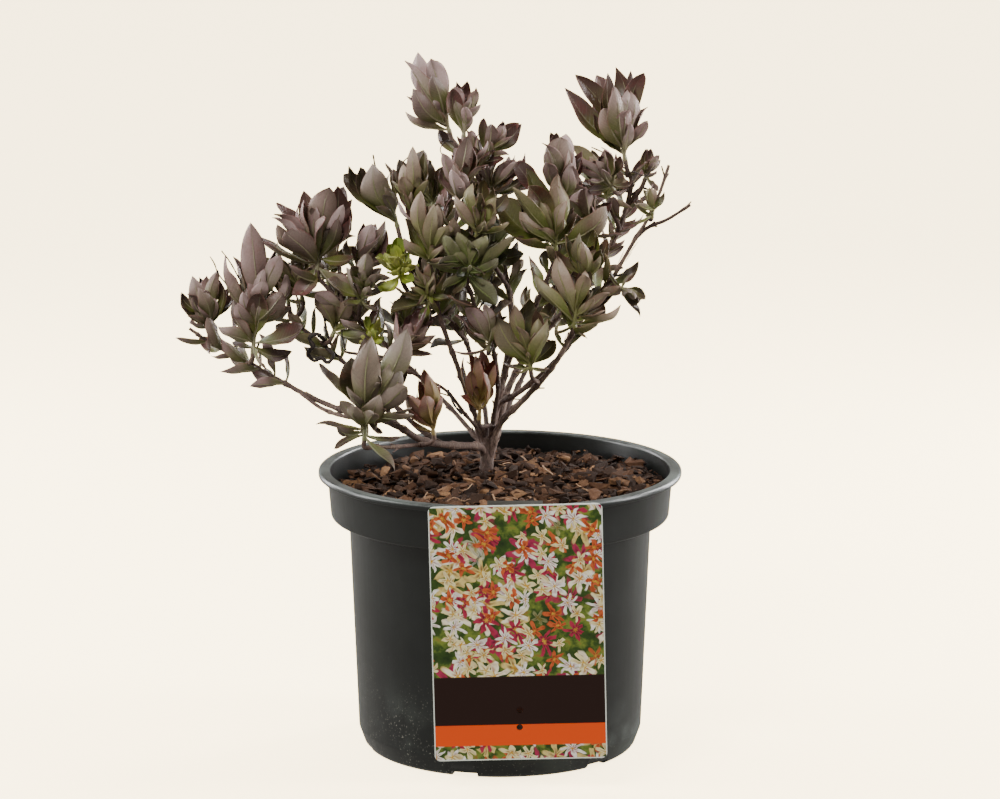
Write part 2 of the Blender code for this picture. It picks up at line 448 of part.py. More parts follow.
def keep_outer_skin(body):
    """Fills sealed hollows and drops loose scraps: only the largest closed skin stays."""
    skin = bmesh.new()
    skin.from_mesh(body.data)
    waiting = set(skin.faces)
    islands = []
    while waiting:
        island = [waiting.pop()]
        for face in island:
            for edge in face.edges:
                beside = [other for other in edge.link_faces if other in waiting]
                waiting.difference_update(beside)
                island += beside
        islands.append(island)
    largest = max(islands, key=len)
    doomed = [face for island in islands if island is not largest for face in island]
    if doomed:
        bmesh.ops.delete(skin, geom=doomed, context="FACES")
        skin.to_mesh(body.data)
    skin.free()


def along(route, share):
    """The point a share of the way along a route, and the direction there."""
    lengths = [0.0]
    for start, end in zip(route, route[1:]):
        lengths.append(lengths[-1] + (end - start).length)
    target = share * lengths[-1]
    for i in range(len(route) - 1):
        if target <= lengths[i + 1] or i == len(route) - 2:
            span = lengths[i + 1] - lengths[i]
            part = min(1.0, (target - lengths[i]) / span)
            return route[i].lerp(route[i + 1], part), (route[i + 1] - route[i]).normalized()


def smooth_route(corners, spacing):
    """Points at an even spacing on a smooth curve through the corners."""
    padded = [corners[0] * 2 - corners[1], *corners, corners[-1] * 2 - corners[-2]]
    fine = []
    for a, b, c, d in zip(padded, padded[1:], padded[2:], padded[3:]):
        for step in range(8):
            t = step / 8
            fine.append(0.5 * (2 * b + (c - a) * t + (2 * a - 5 * b + 4 * c - d) * t * t
                               + (3 * b - a - 3 * c + d) * t * t * t))
    fine.append(corners[-1].copy())
    length = sum((end - start).length for start, end in zip(fine, fine[1:]))
    count = max(2, round(length / spacing))
    return [along(fine, i / count)[0] for i in range(count + 1)]


def tube(points, radii, sides, turn=0.0, last_ahead=None):
    """A closed tube round the points, with flat ends square to its route, or the last to last_ahead."""
    rings = []
    side = None
    for i, point in enumerate(points):
        ahead = (points[min(i + 1, len(points) - 1)] - points[max(i - 1, 0)]).normalized()
        if last_ahead and i == len(points) - 1:
            ahead = last_ahead
        side = side or ahead.orthogonal()
        side = (side - ahead * side.dot(ahead)).normalized()
        across = ahead.cross(side)
        angles = [turn + 2 * math.pi * k / sides for k in range(sides)]
        rings.append([point + radii[i] * (side * math.cos(a) + across * math.sin(a)) for a in angles])
    faces = [tuple(reversed(range(sides)))]
    for row in range(len(rings) - 1):
        for k in range(sides):
            here = row * sides + k
            beside = row * sides + (k + 1) % sides
            faces.append((here, beside, beside + sides, here + sides))
    faces.append(tuple(range((len(rings) - 1) * sides, len(rings) * sides)))
    return [corner for ring in rings for corner in ring], faces


def knobbly_radii(count, root, tip):
    """Radii that taper from root to tip, with a knuckle at every other ring."""
    radii = []
    for i in range(count):
        radius = root + (tip - root) * i / (count - 1)
        radii.append(radius * (KNUCKLE if i % 2 and i < count - 1 else 1.0))
    return radii


def pot_outline():
    """The pot's section from the middle of its floor up the inside, over the rim and down the outside."""
    collar_foot = POT_HEIGHT - COLLAR_HEIGHT
    step = BODY_TOP_RADIUS - WALL
    inside = [
        (0.0, FLOOR_TOP),
        (FOOT_RADIUS, FLOOR_TOP),
        (BODY_FOOT_RADIUS - WALL, FOOT_CURVE_HEIGHT),
        (step, collar_foot - 0.0030),
        (step + 0.0006, collar_foot),
        (COLLAR_FOOT_RADIUS - WALL - 0.0006, collar_foot + 0.0010),
        (COLLAR_FOOT_RADIUS - WALL, collar_foot + 0.0025),
        (COLLAR_TOP_RADIUS - WALL, POT_HEIGHT - 0.0008),
    ]
    outside = [
        (COLLAR_TOP_RADIUS - WALL + 0.0007, POT_HEIGHT),
        (RIM_RADIUS - 0.0010, POT_HEIGHT),
        (RIM_RADIUS, POT_HEIGHT - 0.0009),
        (RIM_RADIUS, POT_HEIGHT - LIP_HEIGHT + 0.0006),
        (RIM_RADIUS - 0.0007, POT_HEIGHT - LIP_HEIGHT),
        (COLLAR_TOP_RADIUS, POT_HEIGHT - LIP_HEIGHT),
        (COLLAR_FOOT_RADIUS, collar_foot + 0.0010),
        (COLLAR_FOOT_RADIUS - 0.0010, collar_foot),
        (BODY_TOP_RADIUS, collar_foot - 0.0018),
        (BODY_FOOT_RADIUS, FOOT_CURVE_HEIGHT),
        (FOOT_RADIUS + 0.0014, 0.0016),
        (FOOT_RADIUS - 0.0004, 0.0),
        (FOOT_RING_INNER_RADIUS, 0.0),
        (FOOT_RING_INNER_RADIUS - 0.0008, FLOOR_UNDERSIDE),
        (FOOT_BOSS_RADIUS, FLOOR_UNDERSIDE),
        (FOOT_BOSS_RADIUS, 0.0),
        (0.0, 0.0),
    ]
    return inside, outside


def turned(name, outline, finish):
    """A body turned round the Z axis from its outline."""
    points = [(radius, 0.0, height) for radius, height in outline]
    mesh = bpy.data.meshes.new(name)
    mesh.from_pydata(points, [(i, i + 1) for i in range(len(points) - 1)], [])
    mesh.materials.append(finish)
    made = bpy.data.objects.new(name, mesh)
    bpy.context.scene.collection.objects.link(made)
    screw = made.modifiers.new("turn", "SCREW")
    screw.steps = POT_SIDES
    screw.render_steps = POT_SIDES
    screw.use_merge_vertices = True
    screw.merge_threshold = 0.00001
    screw.use_smooth_shade = True
    return made


def pot_cutter():
    """The drain holes in the floor and the notches in the foot ring, as one cutter."""
    drills = bmesh.new()
    for i in range(DRAIN_COUNT):
        angle = 2 * math.pi * (i + 0.5) / DRAIN_COUNT
        place = Vector((math.cos(angle), math.sin(angle), 0.0)) * DRAIN_CIRCLE
        place.z = FLOOR_TOP
        bmesh.ops.create_cone(
            drills, cap_ends=True, segments=DRAIN_SIDES, radius1=DRAIN_RADIUS, radius2=DRAIN_RADIUS,
            depth=4 * (FLOOR_TOP - FLOOR_UNDERSIDE), matrix=Matrix.Translation(place))
    for i in range(NOTCH_COUNT):
        angle = 2 * math.pi * (i + NOTCH_START) / NOTCH_COUNT
        shape = Matrix.Diagonal((NOTCH_DEPTH, NOTCH_WIDTH, 2 * NOTCH_HEIGHT, 1.0))
        outward = Matrix.Translation((FOOT_RADIUS - CUTTER_OVERRUN, 0.0, 0.0))
        place = Matrix.Rotation(angle, 4, "Z") @ outward
        bmesh.ops.create_cube(drills, size=1.0, matrix=place @ shape)
    return drilled_cutter("pot_drills", drills)


def build_pot():
    """The turned pot with its drain holes and foot notches."""
    inside, outside = pot_outline()
    pot = turned("pot", inside + outside, material("pot_plastic", POT_COLOUR, POT_ROUGHNESS))
    cut(pot, pot_cutter())
    return pot


def soil_height(x, y):
    """The bark mulch's surface: a mound at the crown, and chips as uneven lumps."""
    from_crown = math.hypot(x - CROWN.x, y - CROWN.y)
    mound = SOIL_MOUND * math.exp(-((from_crown / SOIL_MOUND_SPREAD) ** 2))
    tilt = SOIL_TILT * (x - CROWN.x)
    lump = noise.noise(Vector((x, y, 0.0)) / SOIL_GRAIN)
    return SOIL_LEVEL + mound + tilt + SOIL_RELIEF * lump


def build_soil():
    """The root ball and the mulch on it, filling the pot, with a plain hole for the trunk."""
    inside, _ = pot_outline()
    wall = [(radius - GAP, height + GAP) for radius, height in inside[1:-1]]
    top_radius = COLLAR_FOOT_RADIUS - WALL
    jitter = random.Random(5)
    points = [Vector((0.0, 0.0, FLOOR_TOP + GAP))]
    rings = []
    angles = [2 * math.pi * i / POT_SIDES for i in range(POT_SIDES)]
    for radius, height in wall:
        rings.append(len(points))
        points += [Vector((radius * math.cos(a), radius * math.sin(a), height)) for a in angles]
    for share in (1.0, *SOIL_RINGS):
        rings.append(len(points))
        for a in angles:
            radius = top_radius * share
            if share < 1.0:
                radius *= 1.0 + jitter.uniform(-SOIL_RING_WOBBLE, SOIL_RING_WOBBLE)
            x = radius * math.cos(a)
            y = radius * math.sin(a)
            points.append(Vector((x, y, soil_height(x, y))))
    points.append(Vector((0.0, 0.0, soil_height(0.0, 0.0))))
    faces = [(0, rings[0] + (i + 1) % POT_SIDES, rings[0] + i) for i in range(POT_SIDES)]
    for low, high in zip(rings, rings[1:]):
        for i in range(POT_SIDES):
            j = (i + 1) % POT_SIDES
            faces += [(low + i, low + j, high + j), (low + i, high + j, high + i)]
    last = len(points) - 1
    faces += [(rings[-1] + i, rings[-1] + (i + 1) % POT_SIDES, last) for i in range(POT_SIDES)]
    soil = mesh_object("soil", points, faces, material("soil_bark", SOIL_COLOUR, SOIL_ROUGHNESS))
    shade_round(soil)
    cut(soil, soil_cutter())
    return soil


def soil_cutter():
    """The trunk's hole and the slot for the label's tongue, as one cutter."""
    drills = bmesh.new()
    depth = 2 * (SOIL_LEVEL - HOLE_FLOOR)
    place = Matrix.Translation((CROWN.x, CROWN.y, HOLE_FLOOR + depth / 2))
    bmesh.ops.create_cone(
        drills, cap_ends=True, segments=HOLE_SIDES, radius1=HOLE_RADIUS, radius2=HOLE_RADIUS,
        depth=depth, matrix=place)
    width = TONGUE_WIDTH + 2 * SLOT_CLEARANCE
    height = TONGUE_DEPTH + 2 * SLOT_CLEARANCE
    near = TONGUE_INNER_Y + LABEL_THICKNESS + SLOT_CLEARANCE
    reach = RIM_RADIUS + near
    place = Matrix.Translation((LABEL_CENTRE_X, near - reach / 2, LABEL_TOP - height / 2 + CUTTER_OVERRUN))
    shape = Matrix.Diagonal((width, reach, height + 2 * CUTTER_OVERRUN, 1.0))
    bmesh.ops.create_cube(drills, size=1.0, matrix=place @ shape)
    return drilled_cutter("soil_drills", drills)


def label_outline():
    """The card's rounded outline, from its foot's middle, going round by the right."""
    corners = (
        (LABEL_WIDTH / 2 - LABEL_CORNER, LABEL_CORNER, -90),
        (LABEL_WIDTH / 2 - LABEL_CORNER, LABEL_HEIGHT - LABEL_CORNER, 0),
        (-LABEL_WIDTH / 2 + LABEL_CORNER, LABEL_HEIGHT - LABEL_CORNER, 90),
        (-LABEL_WIDTH / 2 + LABEL_CORNER, LABEL_CORNER, 180),
    )
    outline = []
    for x, z, start in corners:
        for step in range(LABEL_CORNER_STEPS + 1):
            angle = math.radians(start + 90 * step / LABEL_CORNER_STEPS)
            outline.append((x + LABEL_CORNER * math.cos(angle), z + LABEL_CORNER * math.sin(angle)))
    return outline


def build_label():
    """A card hung on the rim by a tongue that hooks over it and down inside the wall."""
    front = -RIM_RADIUS - GAP - LABEL_THICKNESS
    back = front + LABEL_THICKNESS
    outline = label_outline()
    count = len(outline)
    points = [Vector((x, y, z)) for y in (0.0, LABEL_THICKNESS) for x, z in outline]
    faces = [tuple(range(count)), tuple(reversed(range(count, 2 * count)))]
    faces += [(i, i + count, (i + 1) % count + count, (i + 1) % count) for i in range(count)]
    card = mesh_object("label", points, faces, material("label_card", LABEL_COLOUR, LABEL_ROUGHNESS))
    foot = LABEL_TOP - LABEL_HEIGHT
    card.data.transform(Matrix.Translation((LABEL_CENTRE_X, front, foot))
                        @ Matrix.Translation((0.0, 0.0, LABEL_HEIGHT))
                        @ Matrix.Rotation(-LABEL_LEAN, 4, "Y")
                        @ Matrix.Translation((0.0, 0.0, -LABEL_HEIGHT)))
    half = TONGUE_WIDTH / 2
    over = POT_HEIGHT + GAP
    inner = TONGUE_INNER_Y
    top = over + LABEL_THICKNESS
    section = [
        (front + TONGUE_INSET, over - TONGUE_ROOT), (back - TONGUE_INSET, over - TONGUE_ROOT),
        (back - TONGUE_INSET, over),
        (inner, over), (inner, LABEL_TOP - TONGUE_DEPTH),
        (inner + LABEL_THICKNESS, LABEL_TOP - TONGUE_DEPTH), (inner + LABEL_THICKNESS, top),
        (front + TONGUE_INSET, top),
    ]
    size = len(section)
    points = [Vector((LABEL_CENTRE_X - half, y, z)) for y, z in section]
    points += [Vector((LABEL_CENTRE_X + half, y, z)) for y, z in section]
    faces = [tuple(reversed(range(size))), tuple(range(size, 2 * size))]
    faces += [(i, (i + 1) % size, (i + 1) % size + size, i + size) for i in range(size)]
    fuse(card, [mesh_object("label_tongue", points, faces)])
    cut(card, label_cutter())
    return card


def label_cutter():
    """The two punched holes near the label's foot."""
    punches = bmesh.new()
    for across, up in LABEL_HOLES:
        place = Matrix.Translation((LABEL_CENTRE_X + across, -RIM_RADIUS, LABEL_TOP - LABEL_HEIGHT + up))
        bmesh.ops.create_cone(
            punches, cap_ends=True, segments=10, radius1=LABEL_HOLE_RADIUS, radius2=LABEL_HOLE_RADIUS,
            depth=0.01, matrix=place @ Matrix.Rotation(math.pi / 2, 4, "X"))
    return drilled_cutter("label_punches", punches)


def stem_routes():
    """Each stem's middle line."""
    return {
        name: smooth_route([Vector(corner) * MM for corner in corners], RING_SPACING)
        for name, (_, _, corners) in STEMS.items()
    }


def twig_route(shoot, routes):
    """The short woody twig that carries a shoot, from inside its stem to the shoot's base."""
    root, ahead = along(routes[shoot.stem], shoot.at)
    base = Vector(shoot.base) * MM
    upward = Vector(shoot.rise).normalized()
    end = base - upward * GAP
    reach = (end - root).length
    if shoot.at >= 1.0:
        root = root - ahead * TWIG_OVERRUN
        reach += TWIG_OVERRUN
    pull = reach * TWIG_PULL
    steps = 2 if reach < SHORT_TWIG else TWIG_STEPS
    points = []
    for step in range(steps + 1):
        t = step / steps
        a = root + ahead * pull
        b = end - upward * pull
        points.append(
            root * (1 - t) ** 3 + 3 * a * t * (1 - t) ** 2 + 3 * b * t * t * (1 - t) + end * t ** 3)
    return points


def woody_tubes(routes):
    """Every tube of the woody framework, as (points, faces): trunk, stems, twigs and dead twigs."""
    made = []
    trunk = [Vector((CROWN.x, CROWN.y, height)) for height in TRUNK_HEIGHTS]
    made.append(tube(trunk, TRUNK_RADII, TRUNK_SIDES))
    for number, (name, (root, tip, _)) in enumerate(STEMS.items()):
        points = routes[name]
        radii = knobbly_radii(len(points), root * MM / 2, tip * MM / 2)
        made.append(tube(points, radii, STEM_SIDES, TURN_STEP * number))
    for number, shoot in enumerate(SHOOTS.values()):
        points = twig_route(shoot, routes)
        radii = [TWIG_RADIUS * (TWIG_KNUCKLE if i in (0, 2) else 1.0) for i in range(len(points))]
        upward = Vector(shoot.rise).normalized()
        made.append(tube(points, radii, TWIG_SIDES, TURN_STEP * number, upward))
    for number, (thickness, corners) in enumerate(DEAD_TWIGS):
        points = smooth_route([Vector(corner) * MM for corner in corners], DEAD_RING_SPACING)
        radii = knobbly_radii(len(points), thickness * MM / 2, thickness * MM / 2 * DEAD_TIP_SHARE)
        made.append(tube(points, radii, TWIG_SIDES, TURN_STEP * number))
    return made


def build_stems(tubes):
    """The whole woody framework, fused into one body."""
    finish = material("bark", BARK_COLOUR, BARK_ROUGHNESS)
    points, faces = tubes[0]
    body = mesh_object("woody_stems", points, faces, finish)
    fuse(body, [mesh_object(f"stem_{i}", *tubes[i]) for i in range(1, len(tubes))])
    shade_round(body)
    return body


@dataclass(frozen=True)
class Blade:
    """One leaf: its root, where it reaches, the way its upper face looks, and its width."""

    root: Vector
    tip: Vector
    face: Vector
    width: float


def leaf_rows(length):
    """Where a blade has its width, with fewer places on a shorter leaf."""
    if length < TINY_LEAF_LENGTH:
        return TINY_LEAF_ROWS
    return SMALL_LEAF_ROWS if length < SMALL_LEAF_LENGTH else LEAF_ROWS


def leaf_mesh(blade, grow=0.0):
    """The folded blade of a leaf as (points, faces), thicker and wider all round by grow."""
    ahead = blade.tip - blade.root
    ahead_length = ahead.length
    length = ahead_length + grow
    ahead = ahead.normalized()
    face = (blade.face - ahead * blade.face.dot(ahead)).normalized()
    side = ahead.cross(face)
    half = blade.width / 2
    rows = leaf_rows(ahead_length)
    points = [blade.root.copy()]
    for share, wide in rows:
        bow = LEAF_BOW * length * 4 * share * (1 - share)
        middle = blade.root + ahead * length * share - face * bow
        across = wide * half + grow
        lift = LEAF_FOLD * wide * half
        thick = LEAF_THICKNESS / 2 + grow
        points += [
            middle - side * across + face * lift,
            middle + face * thick,
            middle + side * across + face * lift,
            middle - face * thick,
        ]
    points.append(blade.root + ahead * length)
    last = len(points) - 1
    faces = []
    for k in range(4):
        faces.append((0, 1 + (k + 1) % 4, 1 + k))
        faces.append((last, last - 4 + k, last - 4 + (k + 1) % 4))
    for row in range(len(rows) - 1):
        low = 1 + 4 * row
        for k in range(4):
            a, b = low + k, low + (k + 1) % 4
            faces += [(a, b, b + 4), (a, b + 4, a + 4)]
    return points, faces


def old_leaves(shoot, name):
    """The shoot's listed leaves, each with its upper face to the shoot's own axis and the sky."""
    draw = random.Random(name)
    base = Vector(shoot.base) * MM
    rise = Vector(shoot.rise) * MM
    axis = rise.normalized()
    blades = []
    for height, x, y, z, wide in shoot.leaves:
        tip = base + Vector((x, y, z)) * MM
        root = base + rise * (LOWEST_LEAF + (1 - LOWEST_LEAF) * height)
        root += (tip - root).cross(axis).cross(-axis).normalized() * SHOOT_RADIUS * ROOT_OFFSET
        ahead = tip - root
        inward = axis * FACE_TO_SKY - ahead.normalized()
        inward.y -= FACE_TWIST if y > 0 or draw.random() < FACE_TWIST_SWAP else -FACE_TWIST
        inward += Vector([draw.uniform(-FACE_WOBBLE, FACE_WOBBLE) for _ in range(3)])
        blades.append(Blade(root, tip, inward, ahead.length * min(WIDEST_LEAF, wide * LEAF_BREADTH)))
    return blades


def young_leaves(shoot, name):
    """The small pair that closes the shoot's tip."""
    draw = random.Random(name + "_young")
    base = Vector(shoot.base) * MM
    rise = Vector(shoot.rise) * MM
    axis = rise.normalized()
    side = axis.orthogonal().normalized()
    blades = []
    start = draw.uniform(0.0, math.pi)
    for half_turn in (0.0, math.pi):
        out = Matrix.Rotation(start + half_turn, 3, axis) @ side
        spread = YOUNG_SPREAD + draw.uniform(-YOUNG_SPREAD_WOBBLE, YOUNG_SPREAD_WOBBLE)
        ahead = axis * math.cos(spread) + out * math.sin(spread)
        length = YOUNG_LENGTH * draw.uniform(0.8, 1.1)
        root = base + rise * YOUNG_HEIGHT
        blades.append(Blade(root, root + ahead * length, -out, length * YOUNG_WIDTH))
    return blades


def bent(blade, axis, tilt, turn, shorter):
    """The blade swung in towards the axis by tilt, round the axis by turn, and cut shorter."""
    ahead = blade.tip - blade.root
    hinge = ahead.cross(axis)
    hinge = hinge.normalized() if hinge.length > 1e-6 else axis.orthogonal().normalized()
    move = Matrix.Rotation(turn, 3, axis) @ Matrix.Rotation(tilt, 3, hinge)
    return Blade(blade.root, blade.root + move @ ahead * shorter, move @ blade.face, blade.width * shorter)


def tree_of(meshes):
    """A search tree over several meshes, for finding what they meet."""
    points = []
    faces = []
    for mesh_points, mesh_faces in meshes:
        faces += [tuple(corner + len(points) for corner in face) for face in mesh_faces]
        points += mesh_points
    return BVHTree.FromPolygons(points, faces)


# What a leaf that meets another piece tries, in order: degrees of tilt and turn, and share of its length.
TRIES = [(0, 0, 1.0)] + [
    (tilt, turn, shorter)
    for shorter in (1.0, 0.85, 0.7)
    for tilt, turn in ((6, 0), (-6, 0), (0, 9), (0, -9), (12, 0), (-12, 0), (0, 18), (0, -18),
                       (10, 14), (10, -14), (-10, 14), (-10, -14), (20, 0), (-20, 0), (0, 30), (0, -30))
]


def outer_blade(blade):
    """The blade without its root, which is where it may meet the other leaves of its shoot."""
    ahead = blade.tip - blade.root
    return leaf_mesh(Blade(blade.root + ahead * ROOT_SHARE, blade.tip, blade.face, blade.width))


def settled(blade, axis, taken, siblings):
    """The blade as listed if nothing is in its way, or bent clear, or None.

    It has to clear the other pieces. It also clears its own shoot's leaves where one of the tries does.
    """
    fallback = None
    for tilt, turn, shorter in TRIES:
        trial = bent(blade, axis, math.radians(tilt), math.radians(turn), shorter)
        shape = tree_of([leaf_mesh(trial, LEAF_CLEARANCE)])
        if any(shape.overlap(tree) for tree in taken):
            continue
        fallback = fallback or trial
        outer = tree_of([outer_blade(trial)])
        if not any(outer.overlap(tree) for tree in siblings):
            return trial
    return fallback


def shoot_stem(shoot):
    """The soft stem that a shoot's leaves grow from."""
    base = Vector(shoot.base) * MM
    rise = Vector(shoot.rise) * MM
    points = [base + rise * share for share in (0.0, 0.5, SHOOT_OVERRUN)]
    return tube(points, (SHOOT_RADIUS, SHOOT_RADIUS * 0.9, SHOOT_TIP_RADIUS), SHOOT_SIDES)


def ground_tree():
    """The soil's top and the pot's rim and collar, as leaves meet them."""
    inside, outside = pot_outline()
    section = inside[4:] + outside[:8]
    points = [
        Vector((radius * math.cos(a), radius * math.sin(a), height))
        for a in [2 * math.pi * i / POT_SIDES for i in range(POT_SIDES)]
        for radius, height in section
    ]
    rows = len(section)
    faces = []
    for i in range(POT_SIDES):
        j = (i + 1) % POT_SIDES
        faces += [(i * rows + k, j * rows + k, j * rows + k + 1, i * rows + k + 1) for k in range(rows - 1)]
    start = len(points)
    level = SOIL_LEVEL + SOIL_RELIEF
    square = ((-1, -1), (1, -1), (1, 1), (-1, 1))
    points += [Vector((x * RIM_RADIUS, y * RIM_RADIUS, level)) for x, y in square]
    faces.append((start, start + 1, start + 2, start + 3))
    return BVHTree.FromPolygons(points, faces)


def place_leaves(tubes):
    """Every shoot's leaves, each clear of the stems, the pot and the other shoots."""
    stems = tree_of(tubes)
    ground = ground_tree()
    soft_stems = {name: tree_of([shoot_stem(shoot)]) for name, shoot in SHOOTS.items()}
    settled_trees = {}
    placed = {}
    for name, shoot in SHOOTS.items():
        axis = Vector(shoot.rise).normalized()
        others = [tree for other, tree in soft_stems.items() if other != name]
        taken = [stems, ground, *others, *settled_trees.values()]
        placed[name] = []
        for blade in old_leaves(shoot, name) + young_leaves(shoot, name):
            siblings = [tree_of([outer_blade(other) for other in placed[name]])] if placed[name] else []
            found = settled(blade, axis, taken, siblings)
            if found:
                placed[name].append(found)
        settled_trees[name] = tree_of([leaf_mesh(blade) for blade in placed[name]])
    return placed


def build_shoot(name, blades, finishes):
    """One leafy shoot: its soft stem and leaves, fused into one body."""
    shoot = SHOOTS[name]
    points, faces = shoot_stem(shoot)
    body = mesh_object("shoot_" + name, points, faces, finishes[shoot.tone])
    fuse(body, [mesh_object(f"{name}_leaf_{i}", *leaf_mesh(blade)) for i, blade in enumerate(blades)])
    return body


def main():
    """Builds every piece of the potted vine."""
    clear_scene()
    build_pot()
    build_soil()
    build_label()
    tubes = woody_tubes(stem_routes())
    build_stems(tubes)
    finishes = {tone: material("leaf_" + tone, colour, LEAF_ROUGHNESS) for tone, colour in TONES.items()}
    for name, blades in place_leaves(tubes).items():
        build_shoot(name, blades, finishes)


main()
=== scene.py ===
"""A young honeysuckle in its nursery pot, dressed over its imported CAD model.

The CAD nodes keep the sizes. Each is replaced by a finer piece of the same form, what is too fine for the
CAD is added, and every surface gets its finish. Lengths are metres; the plant's tables are millimetres.
+Z is up, the pot stands on Z = 0 with its axis on the Z axis, and the label faces -Y.
"""

import logging
import math
import random
from collections.abc import Callable, Iterable, Sequence
from dataclasses import dataclass
from enum import Enum

import bmesh
import bpy
from mathutils import Matrix, Vector, noise
from mathutils.bvhtree import BVHTree


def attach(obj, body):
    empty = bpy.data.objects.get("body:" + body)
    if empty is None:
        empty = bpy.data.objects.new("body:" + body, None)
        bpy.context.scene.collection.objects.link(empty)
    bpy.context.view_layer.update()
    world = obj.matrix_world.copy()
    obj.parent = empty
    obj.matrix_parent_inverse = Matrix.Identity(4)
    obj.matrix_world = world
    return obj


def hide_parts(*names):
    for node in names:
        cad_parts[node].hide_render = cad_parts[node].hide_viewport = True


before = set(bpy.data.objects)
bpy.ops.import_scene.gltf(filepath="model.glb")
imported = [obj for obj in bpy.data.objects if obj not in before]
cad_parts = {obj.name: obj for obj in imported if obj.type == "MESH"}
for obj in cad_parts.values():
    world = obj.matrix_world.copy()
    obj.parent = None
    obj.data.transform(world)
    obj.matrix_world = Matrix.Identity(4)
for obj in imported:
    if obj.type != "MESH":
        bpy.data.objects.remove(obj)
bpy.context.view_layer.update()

LOG = logging.getLogger("honeysuckle")
MM = 0.001
GAP = 0.0004

# The shortest length that counts, the steps from one corner of a curve to the next, and what leaves carry.
TINY = 1e-6
CURVE_STEPS = 8
LEAF_MARKS = ("leaf_place", "leaf_mark")

Colour = tuple[float, float, float]
Point = tuple[float, float, float]
Face = tuple[int, ...]
Mesh = tuple[list[Vector], list[Face]]
Route = list[Vector]
LeafGrid = list[list[tuple[Vector, float, float, Vector]]]


def paint(code: str) -> Colour:
    """A linear colour from six hexadecimal digits of screen colour.

    Args:
        code: red, green and blue, two digits each.

    Returns:
        The colour as Blender's shaders take it.
    """
    shares = [int(code[i:i + 2], 16) / 255 for i in (0, 2, 4)]
    return tuple(c / 12.92 if c <= 0.04045 else ((c + 0.055) / 1.055) ** 2.4 for c in shares)


class Socket:
    """A shader value that takes part in Python expressions: each operator adds one node."""

    def __init__(self, tree: "Shader", socket: bpy.types.NodeSocket) -> None:
        """Wraps a socket.

        Args:
            tree: the shader it belongs to.
            socket: the socket.
        """
        self.tree = tree
        self.socket = socket

    def _join(self, operation: str, left: "Socket | float", right: "Socket | float") -> "Socket":
        """Adds a Math node, or a Vector Math node where a side is a vector.

        Args:
            operation: the node's operation.
            left: its first value.
            right: its second value.

        Returns:
            The node's result.
        """
        vector = any(isinstance(side, Socket) and side.socket.type == "VECTOR" for side in (left, right))
        kind = "ShaderNodeVectorMath" if vector else "ShaderNodeMath"
        return self.tree.node(kind, {"operation": operation}, {0: left, 1: right})

    def __add__(self, other: "Socket | float") -> "Socket":
        """Sum."""
        return self._join("ADD", self, other)

    def __radd__(self, other: float) -> "Socket":
        """Sum, the other way round."""
        return self._join("ADD", other, self)

    def __sub__(self, other: "Socket | float") -> "Socket":
        """Difference."""
        return self._join("SUBTRACT", self, other)

    def __rsub__(self, other: float) -> "Socket":
        """Difference, the other way round."""
        return self._join("SUBTRACT", other, self)

    def __mul__(self, other: "Socket | float") -> "Socket":
        """Product."""
        return self._join("MULTIPLY", self, other)

    def __rmul__(self, other: float) -> "Socket":
        """Product, the other way round."""
        return self._join("MULTIPLY", self, other)

    def __truediv__(self, other: "Socket | float") -> "Socket":
        """Quotient."""
        return self._join("DIVIDE", self, other)

    def __rtruediv__(self, other: float) -> "Socket":
        """Quotient, the other way round."""
        return self._join("DIVIDE", other, self)

    def __abs__(self) -> "Socket":
        """Size without its sign."""
        return self.tree.node("ShaderNodeMath", {"operation": "ABSOLUTE"}, {0: self})


